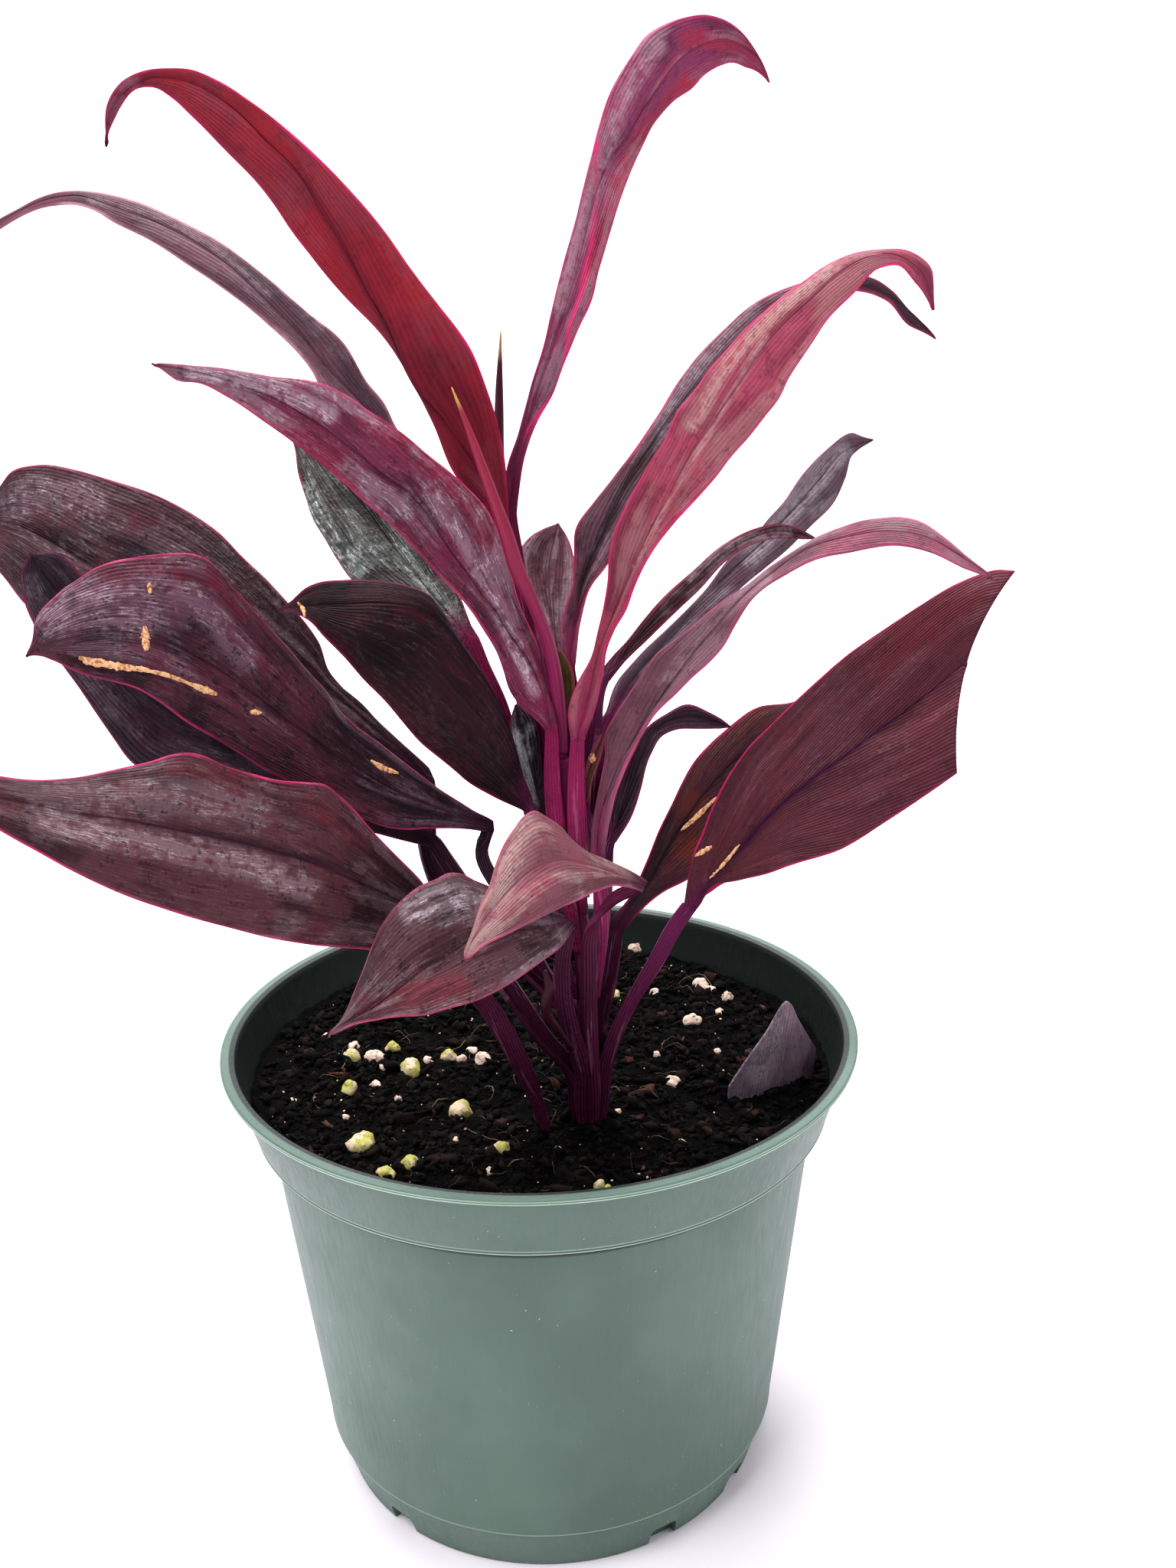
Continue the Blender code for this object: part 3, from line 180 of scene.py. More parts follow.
DARK_CURLED = dict(
    foot=(-160, 146), stalk=[(724, 1200, -35), (703, 1115, -36)],
    depth=(-37, -50, -52), lift=(-4, 4), bow=0.10,
    mid=[(689, 1050), (678, 1005), (662, 950), (641, 904), (616, 866), (581, 822), (548, 796), (500, 788),
         (450, 790), (402, 792), (364, 797)],
    left=[(683, 1056), (650, 1042), (610, 1020), (594, 1007), (572, 988), (550, 969), (525, 941), (500, 913),
          (475, 888), (450, 858), (425, 832), (402, 809), (384, 801), (363, 800)],
    right=[(695, 1048), (680, 1015), (667, 982), (658, 955), (644, 919), (631, 891), (616, 860), (600, 838),
           (587, 816), (573, 794), (562, 779), (531, 765), (500, 759), (475, 758), (450, 759), (416, 763),
           (400, 770), (384, 783), (364, 794)])

FAR_LEFT = dict(
    foot=(178, 114.5), stalk=[(741, 1405, -34), (706, 1362, -34), (657, 1290, -32), (595, 1195, -28.5),
                              (560, 1110, -25.5)],
    depth=(-25, -14, 8), lift=(-6, 5), bow=0.10,
    mid=[(553, 1010), (500, 962), (400, 880), (300, 810), (200, 772), (125, 742), (78, 714), (47, 696),
         (0, 680), (-62, 690)],
    left=[(547, 1018), (490, 985), (400, 935), (300, 890), (200, 860), (100, 830), (31, 788), (0, 746),
          (-35, 712), (-64, 694)],
    right=[(560, 1003), (525, 974), (475, 923), (450, 901), (428, 877), (416, 840), (400, 817), (378, 792),
           (350, 760), (312, 721), (291, 700), (250, 671), (200, 647), (150, 629), (100, 614), (50, 608),
           (19, 616), (0, 640), (-35, 665), (-64, 688)])

SCARRED = dict(
    foot=(-176, 129), stalk=[(727, 1300, -35), (694, 1240, -36.5), (654, 1165, -38), (629, 1112, -38)],
    depth=(-39, -64, -86), lift=(-5, 5), bow=0.10,
    mid=[(638, 1076), (600, 1066), (550, 1048), (500, 1025), (450, 995), (400, 960), (350, 922), (300, 885),
         (250, 855), (200, 833), (150, 825), (100, 832), (60, 844), (34, 857)],
    left=[(636, 1085), (594, 1082), (556, 1082), (534, 1084), (512, 1082), (473, 1069), (430, 1050),
          (369, 1017), (350, 1008), (319, 989), (291, 971), (241, 941), (209, 917), (178, 899), (150, 891),
          (125, 885), (100, 877), (62, 860), (33, 860)],
    right=[(642, 1071), (619, 1062), (600, 1050), (575, 1034), (534, 1000), (500, 975), (434, 922),
           (422, 904), (400, 878), (375, 846), (350, 817), (325, 789), (300, 761), (281, 741), (266, 730),
           (250, 725), (225, 724), (200, 725), (175, 728), (150, 733), (125, 742), (100, 757), (81, 769),
           (66, 783), (50, 802), (39, 833), (33, 855)])

FOLDED = dict(
    foot=(125, 124), stalk=[(738, 1320, -28), (680, 1250, -29), (612, 1170, -31), (583, 1125, -31.5)],
    depth=(-32, -44, -50), lift=(-3, 3), bow=0.10,
    mid=[(562, 1095), (480, 1060), (400, 1020), (300, 975), (200, 915), (135, 850), (90, 790), (55, 745),
         (40, 722)],
    left=[(560, 1104), (480, 1085), (400, 1060), (300, 1040), (230, 1020), (178, 999), (147, 961),
          (125, 930), (100, 894), (81, 868), (44, 814), (33, 786), (28, 755), (26, 735), (36, 720)],
    right=[(566, 1088), (480, 1040), (400, 985), (300, 930), (200, 860), (150, 800), (110, 755), (75, 722),
           (55, 716), (43, 720)])

LOW_LEFT = dict(
    foot=None, stalk=[(709, 1478, -37), (690, 1430, -37), (665, 1375, -38), (637, 1318, -39),
                      (612, 1280, -41)],
    depth=(-42, -86, -112), lift=(-8, 6), bow=0.10,
    mid=[(590, 1248), (560, 1208), (525, 1180), (487, 1161), (450, 1144), (400, 1124), (350, 1110),
         (300, 1097), (250, 1088), (200, 1078), (150, 1069), (100, 1063), (50, 1054), (0, 1045), (-60, 1030),
         (-105, 1012)],
    left=[(582, 1255), (560, 1256), (520, 1250), (483, 1241), (450, 1238), (400, 1232), (350, 1223),
          (300, 1212), (250, 1199), (200, 1182), (150, 1163), (100, 1140), (50, 1113), (0, 1085),
          (-60, 1050), (-106, 1015)],
    right=[(597, 1240), (578, 1195), (550, 1153), (525, 1125), (503, 1103), (484, 1084), (459, 1056),
           (436, 1035), (425, 1026), (400, 1022), (366, 1019), (328, 1010), (291, 999), (262, 987),
           (247, 984), (225, 986), (200, 994), (150, 1006), (100, 1014), (50, 1018), (0, 1015), (-60, 1005),
           (-105, 1009)])

LOW_FRONT = dict(
    foot=(-118, 116), stalk=[(757, 1395, -38), (744, 1350, -40), (735, 1300, -42), (735, 1250, -43)],
    depth=(-43, -72, -72), lift=(-7, 5), bow=0.12,
    mid=[(742, 1205), (700, 1213), (650, 1222), (606, 1234), (588, 1247), (556, 1266), (525, 1291),
         (480, 1325), (430, 1352)],
    left=[(748, 1212), (728, 1238), (706, 1256), (681, 1275), (650, 1294), (619, 1308), (588, 1317),
          (556, 1326), (525, 1328), (494, 1331), (462, 1338), (431, 1355)],
    right=[(737, 1199), (700, 1183), (660, 1165), (638, 1156), (619, 1150), (600, 1142), (584, 1142),
           (569, 1150), (550, 1158), (531, 1172), (516, 1187), (500, 1209), (488, 1234), (475, 1266),
           (462, 1297), (453, 1319), (444, 1336), (428, 1350)])

FRONT_ROSY = dict(
    foot=(-72, 120), stalk=[(770, 1330, -38.5), (770, 1270, -40), (772, 1215, -41), (800, 1175, -44)],
    depth=(-50, -86, -118), lift=(-6, 6), bow=0.10,
    mid=[(838, 1156), (800, 1143), (760, 1130), (725, 1125), (690, 1140), (655, 1175), (625, 1215),
         (606, 1254)],
    left=[(836, 1163), (806, 1157), (781, 1164), (756, 1175), (728, 1187), (697, 1203), (666, 1219),
          (631, 1236), (607, 1257)],
    right=[(842, 1150), (806, 1132), (766, 1112), (747, 1097), (731, 1081), (712, 1068), (697, 1060),
           (681, 1069), (672, 1081), (659, 1100), (647, 1128), (638, 1159), (628, 1184), (619, 1212),
           (604, 1252)])

BIG_CUT = dict(
    foot=(-15, 114.5), stalk=[(799, 1380, -34.5), (813, 1341, -34.5), (834, 1297, -35), (857, 1256, -35),
                             (880, 1212, -35)],
    depth=(-35, -42, -52), lift=(5, -7), bow=0.08, cut=True,
    mid=[(905, 1178), (941, 1138), (962, 1114), (981, 1094), (1000, 1072), (1025, 1048), (1050, 1028),
         (1075, 1008), (1100, 991), (1125, 972), (1150, 953), (1175, 936), (1200, 916), (1225, 897),
         (1262, 866)],
    left=[(894, 1180), (901, 1140), (909, 1109), (919, 1087), (928, 1062), (937, 1041), (948, 1019),
          (962, 997), (978, 975), (1000, 953), (1036, 919), (1075, 884), (1100, 862), (1150, 825),
          (1200, 791), (1250, 762), (1275, 752), (1300, 745), (1326, 746)],
    right=[(913, 1180), (936, 1157), (969, 1149), (1000, 1142), (1025, 1133), (1050, 1125), (1070, 1119),
           (1100, 1108), (1125, 1094), (1150, 1078), (1175, 1062), (1212, 1037), (1250, 1010)])

BEHIND_CUT = dict(
    foot=(48, 126), stalk=[(784, 1330, -27.5), (793, 1280, -25.5), (800, 1240, -24.5)],
    depth=(-24, -6, 16), lift=(2, -2), bow=0.10,
    mid=[(806, 1208), (848, 1150), (886, 1085), (925, 1030), (975, 980), (1035, 935), (1110, 885)],
    left=[(797, 1203), (823, 1172), (845, 1126), (861, 1085), (876, 1054), (889, 1026), (907, 994),
          (923, 976), (951, 951), (989, 924), (1036, 917), (1080, 897), (1110, 883)],
    right=[(815, 1213), (836, 1190), (864, 1167), (901, 1146), (950, 1090), (1000, 1040), (1060, 960),
           (1112, 888)])

UPPER_RIGHT = dict(
    foot=(-72, 168), stalk=[(757, 1110, -38.5), (753, 1050, -39), (753, 1000, -39)],
    depth=(-39, -54, -62), lift=(2.5, -2.5), bow=0.10,
    mid=[(755, 960), (768, 915), (786, 850), (805, 800), (822, 758), (838, 720), (852, 691), (868, 659),
         (883, 631), (905, 591), (927, 559), (942, 537), (967, 500), (999, 453), (1030, 419), (1061, 391),
         (1092, 362), (1124, 341), (1170, 336), (1200, 355), (1219, 405)],
    left=[(746, 962), (744, 925), (756, 892), (775, 858), (783, 826), (790, 795), (795, 760), (794, 725),
          (802, 694), (824, 650), (855, 597), (871, 572), (886, 537), (905, 512), (921, 487), (949, 456),
          (974, 431), (999, 409), (1027, 384), (1055, 364), (1075, 349), (1111, 333), (1150, 327),
          (1186, 329), (1211, 345), (1221, 404)],
    right=[(764, 958), (778, 921), (787, 883), (790, 850), (803, 821), (816, 799), (827, 769), (849, 725),
           (880, 684), (914, 647), (936, 622), (955, 597), (980, 569), (999, 544), (1018, 519), (1030, 494),
           (1046, 469), (1061, 447), (1080, 419), (1114, 384), (1149, 350), (1174, 346), (1192, 365),
           (1216, 406)])

DUSKY = dict(
    foot=(42, 183), stalk=[(761, 1030, -28.3), (758, 950, -28.8)],
    depth=(-29, -6, 22), lift=(1.5, -1.5), bow=0.10,
    mid=[(744, 865), (753, 805), (766, 747), (794, 684), (822, 628), (850, 583), (900, 515), (960, 448),
         (1030, 397), (1090, 372), (1150, 383), (1190, 411), (1221, 442)],
    left=[(737, 867), (733, 820), (740, 790), (749, 765), (750, 730), (752, 690), (775, 656), (800, 626),
          (833, 584), (861, 541), (886, 500), (911, 466), (949, 428), (986, 397), (1030, 375), (1090, 361),
          (1133, 362), (1164, 381), (1186, 407), (1223, 440)],
    right=[(751, 864), (759, 810), (770, 770), (793, 738), (815, 695), (840, 650), (870, 607), (905, 560),
           (950, 503), (1000, 448), (1060, 402), (1120, 380), (1161, 394), (1183, 422), (1219, 445)])

TALL_CENTRE = dict(
    foot=(116, 187), stalk=[(725, 1010, -27), (711, 930, -26), (693, 830, -25), (676, 730, -24)],
    depth=(-23, 4, 42), lift=(0.5, -1.5), bow=0.10,
    mid=[(667, 660), (674, 610), (687, 560), (706, 500), (728, 435), (748, 365), (766, 295), (779, 245),
         (797, 206), (815, 184), (840, 141), (859, 112), (877, 87), (905, 64), (945, 52), (985, 72),
         (1004, 107)],
    left=[(660, 662), (663, 612), (678, 566), (694, 500), (710, 450), (721, 403), (735, 347), (748, 300),
          (760, 253), (771, 209), (782, 166), (799, 116), (815, 88), (829, 67), (843, 48), (874, 30),
          (901, 23), (918, 21), (937, 24), (968, 41), (987, 70), (1006, 106)],
    right=[(675, 658), (686, 595), (702, 550), (722, 515), (740, 465), (755, 430), (770, 397), (784, 350),
           (798, 300), (811, 250), (824, 220), (838, 191), (863, 152), (881, 131), (901, 116), (918, 98),
           (940, 86), (956, 82), (978, 90), (1002, 109)])

SHORT_CENTRE = dict(
    foot=(84, 196), stalk=[(738, 958, -25.6)],
    depth=(-25, -12, -4), lift=(0.5, 0.5), bow=0.10,
    mid=[(737, 905), (728, 850), (720, 800), (716, 750), (722, 710), (729, 684)],
    left=[(731, 905), (708, 850), (690, 800), (678, 760), (678, 722), (694, 701), (712, 690), (727, 683)],
    right=[(744, 903), (748, 850), (748, 800), (750, 760), (748, 728), (740, 702), (731, 684)])

NARROW_DARK = dict(
    foot=(4, 194), stalk=[(772, 985, -32), (780, 912, -29.5)],
    depth=(-28, -20, -8), lift=(0.8, -0.8), bow=0.10,
    mid=[(790, 882), (812, 860), (842, 824), (875, 790), (905, 761), (938, 730), (975, 706), (1018, 693),
         (1064, 703)],
    left=[(785, 876), (803, 855), (819, 838), (837, 815), (869, 778), (905, 746), (943, 713), (983, 692),
          (1018, 685), (1065, 700)],
    right=[(795, 888), (812, 868), (847, 834), (881, 801), (914, 770), (949, 732), (980, 712), (1018, 703),
           (1064, 706)])

HOOKED_RIGHT = dict(
    foot=(34, 171), stalk=[(777, 1110, -27.6), (778, 1030, -25.5), (784, 975, -22)],
    depth=(-20, 4, 30), lift=(1, -1), bow=0.10,
    mid=[(797, 935), (820, 895), (860, 848), (900, 803), (945, 756), (990, 714), (1030, 672), (1070, 625),
         (1100, 590), (1139, 574)],
    left=[(792, 928), (803, 896), (831, 861), (872, 821), (924, 769), (955, 728), (980, 709), (1002, 680),
          (1021, 659), (1049, 619), (1083, 584), (1110, 566), (1140, 571)],
    right=[(802, 940), (830, 905), (870, 862), (920, 812), (970, 766), (999, 742), (1027, 719), (1058, 688),
           (1088, 656), (1103, 625), (1111, 596), (1138, 577)])

ARCHING_ROSY = dict(
    foot=(-22, 146), stalk=[(788, 1230, -35.5), (784, 1160, -36.8)],
    depth=(-37, -44, -66), lift=(3, -3.5), bow=0.10,
    mid=[(780, 1112), (785, 1070), (794, 1040), (806, 1014), (819, 986), (831, 967), (844, 946), (862, 918),
         (881, 889), (906, 855), (931, 827), (965, 790), (1010, 752), (1060, 718), (1110, 703), (1160, 696),
         (1210, 704), (1250, 726), (1296, 756)],
    left=[(772, 1112), (775, 1077), (781, 1046), (787, 1014), (792, 985), (792, 958), (800, 942),
          (819, 911), (837, 883), (859, 852), (881, 836), (912, 814), (944, 786), (975, 765), (1008, 738),
          (1055, 708), (1099, 689), (1124, 681), (1152, 678), (1177, 677), (1199, 681), (1233, 702),
          (1269, 734), (1298, 754)],
    right=[(788, 1114), (797, 1071), (803, 1039), (816, 1005), (831, 974), (841, 952), (859, 927),
           (881, 908), (903, 886), (928, 864), (944, 846), (962, 815), (985, 780), (1024, 750), (1052, 736),
           (1077, 728), (1108, 722), (1139, 716), (1168, 713), (1199, 717), (1224, 725), (1250, 738),
           (1294, 758)])

BEHIND_RIGHT = dict(
    foot=(52, 152), stalk=[(783, 1210, -27.5), (790, 1150, -25.5)],
    depth=(-24.5, -20, -18), lift=(0.5, -0.5), bow=0.10,
    mid=[(796, 1095), (812, 1058), (826, 1018), (838, 984), (855, 953), (880, 938), (905, 934), (930, 941),
         (954, 949)],
    left=[(789, 1090), (800, 1050), (814, 1010), (828, 980), (844, 952), (872, 932), (897, 920),
          (925, 930), (955, 947)],
    right=[(804, 1098), (822, 1070), (837, 1030), (850, 985), (864, 962), (884, 953), (906, 951),
           (930, 951), (954, 951)])

STRIP = dict(
    foot=(-8, 179), stalk=[],
    depth=(-36, -36, -35.5), lift=(0.3, -0.3), bow=0.08,
    mid=[(765, 1050), (768, 1015), (776, 990), (789, 956)],
    left=[(760, 1052), (763, 1015), (770, 992), (780, 970), (788, 955)],
    right=[(770, 1048), (774, 1018), (783, 993), (791, 958)])

SHORT_GLOSSY = dict(
    foot=(-160, 176), stalk=[(716, 1105, -34.3)],
    depth=(-34, -34, -34), lift=(-0.3, 0.3), bow=0.10,
    mid=[(706, 1056), (697, 1020), (688, 980), (680, 945), (673, 921)],
    left=[(700, 1060), (682, 1020), (671, 991), (667, 962), (668, 938), (672, 920)],
    right=[(711, 1056), (710, 1015), (706, 975), (700, 945), (688, 928), (675, 922)])

OLIVE = dict(
    foot=(42, 202), stalk=[],
    depth=(-31.3, -31.5, -31.5), lift=(0.3, -0.3), bow=0.10,
    mid=[(738, 935), (738, 905), (734, 875), (727, 848)],
    left=[(733, 935), (728, 905), (724, 875), (724, 848)],
    right=[(743, 934), (750, 905), (748, 875), (732, 848)])

SPEAR_LINE = [(732, 982, -33.5, 1.7), (731, 950, -34.5, 1.7), (716, 842, -41, 1.5), (695, 785, -46, 1.4),
              (676, 745, -49, 1.6), (662, 700, -52, 1.5), (646, 655, -54, 1.2), (629, 608, -56, 1.0),
              (611, 558, -57, 0.6), (590, 506, -58, 0.12)]
SPIKE_LINE = [(748, 1110, -28.8, 0.9), (742, 1010, -16, 0.9), (715, 880, -8, 0.9), (680, 740, -5, 0.9),
              (655, 640, -5, 1.3), (652, 520, -5, 0.95), (654, 433, -5, 0.15)]
BABY_LINE = [(747, 1370, -41.4, 0.7), (729, 1345, -43.5, 0.9), (713, 1318, -45.5, 1.2),
             (717, 1290, -46.5, 1.0), (712, 1268, -46.5, 0.5)]

# The cut piece of leaf standing in the soil: foot line on the soil and its rise
PIECE_FOOT = ((46.5, -24.5), (58.5, -20.0), (70.0, -13.0))
PIECE_RISE = (4.0, 17.0, 25.5, 19.0, 8.0)
PIECE_SLOPE = 0.11163
PIECE_SUNK = 3.0
PIECE_THICK = 0.72

# Real sizes of the patterns, in mm. Veins, stalk lines and grit are really finer, and are drawn as coarse
# as they need to show.
GRAIN_UNIT = 50.0
VEIN_SPACING = 0.8
VEIN_SLANT = 0.05
VEIN_WANDER = 22.22
STALK_LINE_SPACING = 0.55
STREAK_WIDTH = 1.923
STREAK_LENGTH = 19.23
BROAD_STREAK_WIDTH = 4.273
BLOTCH_SIZE = 16.67
QUILT_SIZE = 2.381
LEAF_GRIT = 0.7692
CORK_GRIT = 0.6667
CANE_STRIPE = 0.2723
FLOW_MARK = 45.45
SCUFF_WIDTH = 1.111
SCUFF_LENGTH = 16.67
PLASTIC_SPECK = 1.111
MIX_CLOD = 3.846
MIX_FIBRE = 0.6667
PERLITE_PORE = 1.111
PEAT_FIBRE = 0.8333
BARK_FIBRE = 1.429
ROOT_FIBRE = 1.111
TINGE_SIZE = 3.846

# Stalk bases darken between these heights, in metres
STALK_DARK = 0.115
STALK_BRIGHT = 0.19

# Roots, grains and the mix
MIX_LUMPS = ((0.9, 9.0, 3), (0.8, 3.1, 4), (0.55, 1.3, 5))
MIX_SHIFT = 200.0
MIX_SIDES = 300
MIX_RINGS = 120
STEM_RISE = 2.4
STEM_RISE_REACH = 9.0
CLEAR_OF_STEM = 3.2
DUST_COUNT = 260
BARK_COUNT = 170
ROOT_COUNT = 160
ROOT_STEPS = 12
ROOT_SIDES = 5
GRAIN_LIMIT = 73.0

# Parts of the view where the perlite stands at random: lowest and highest x, lowest and highest y
RANDOM_PERLITE = ((-1e9, 1e9, -1e9, 1230), (-1e9, 330, -1e9, 1e9), (640, 1e9, 1480, 1e9),
                  (1000, 1e9, -1e9, 1300))

# Tubes, and the furled leaves: name, node, line, slot, and the colours of body, foot, stripes and tip
TUBE_SIDES = 28
STEM_STEPS = 120
FURLED = (("furled_spear", "spear", SPEAR_LINE, "furled", ("8a2638", "7a1450", "a84a68", "c0a450")),
          ("furled_spike", "spike", SPIKE_LINE, "dark_leaf", ("3c1420", "3a1030", "7a4a5c", "a08858")),
          ("curled_young_leaf", "baby_leaf", BABY_LINE, "furled", ("3a1020", "2a0818", "481428", "3a1020")))

# Lamps: place and aim in metres, width, and share of the key light's power
LAMPS = {"key": ((-0.7, -0.6, 1.5), (0, 0, 0.2), 0.9, 1.0),
         "side": ((1.1, -0.3, 0.9), (0, 0, 0.2), 0.8, 0.25),
         "sky": ((-0.2, 0.5, 1.7), (0, 0, 0.2), 1.2, 1.0),
         "wall": ((0.0, 1.2, 2.6), (0, 2.2, 0.2), 1.6, 2.0)}

# Point fields that a leaf carries, and the values of a look that names none of its own
FIELDS = ("warm", "deep", "pale", "margin", "rib", "stalk")
PLAIN_LOOK = dict(relief=0.25, veins=0.2, slant=VEIN_SLANT, rib_width=0.6, stalk_width=STALK_WIDTH,
                  strokes=())
PIECE_LOOK = dict(paint="7c6a76 4e3850 7a3a5c b0a2aa 5a3a4c 8a5a74 6a5462", skin=(0.3, 0.6, 0.45))
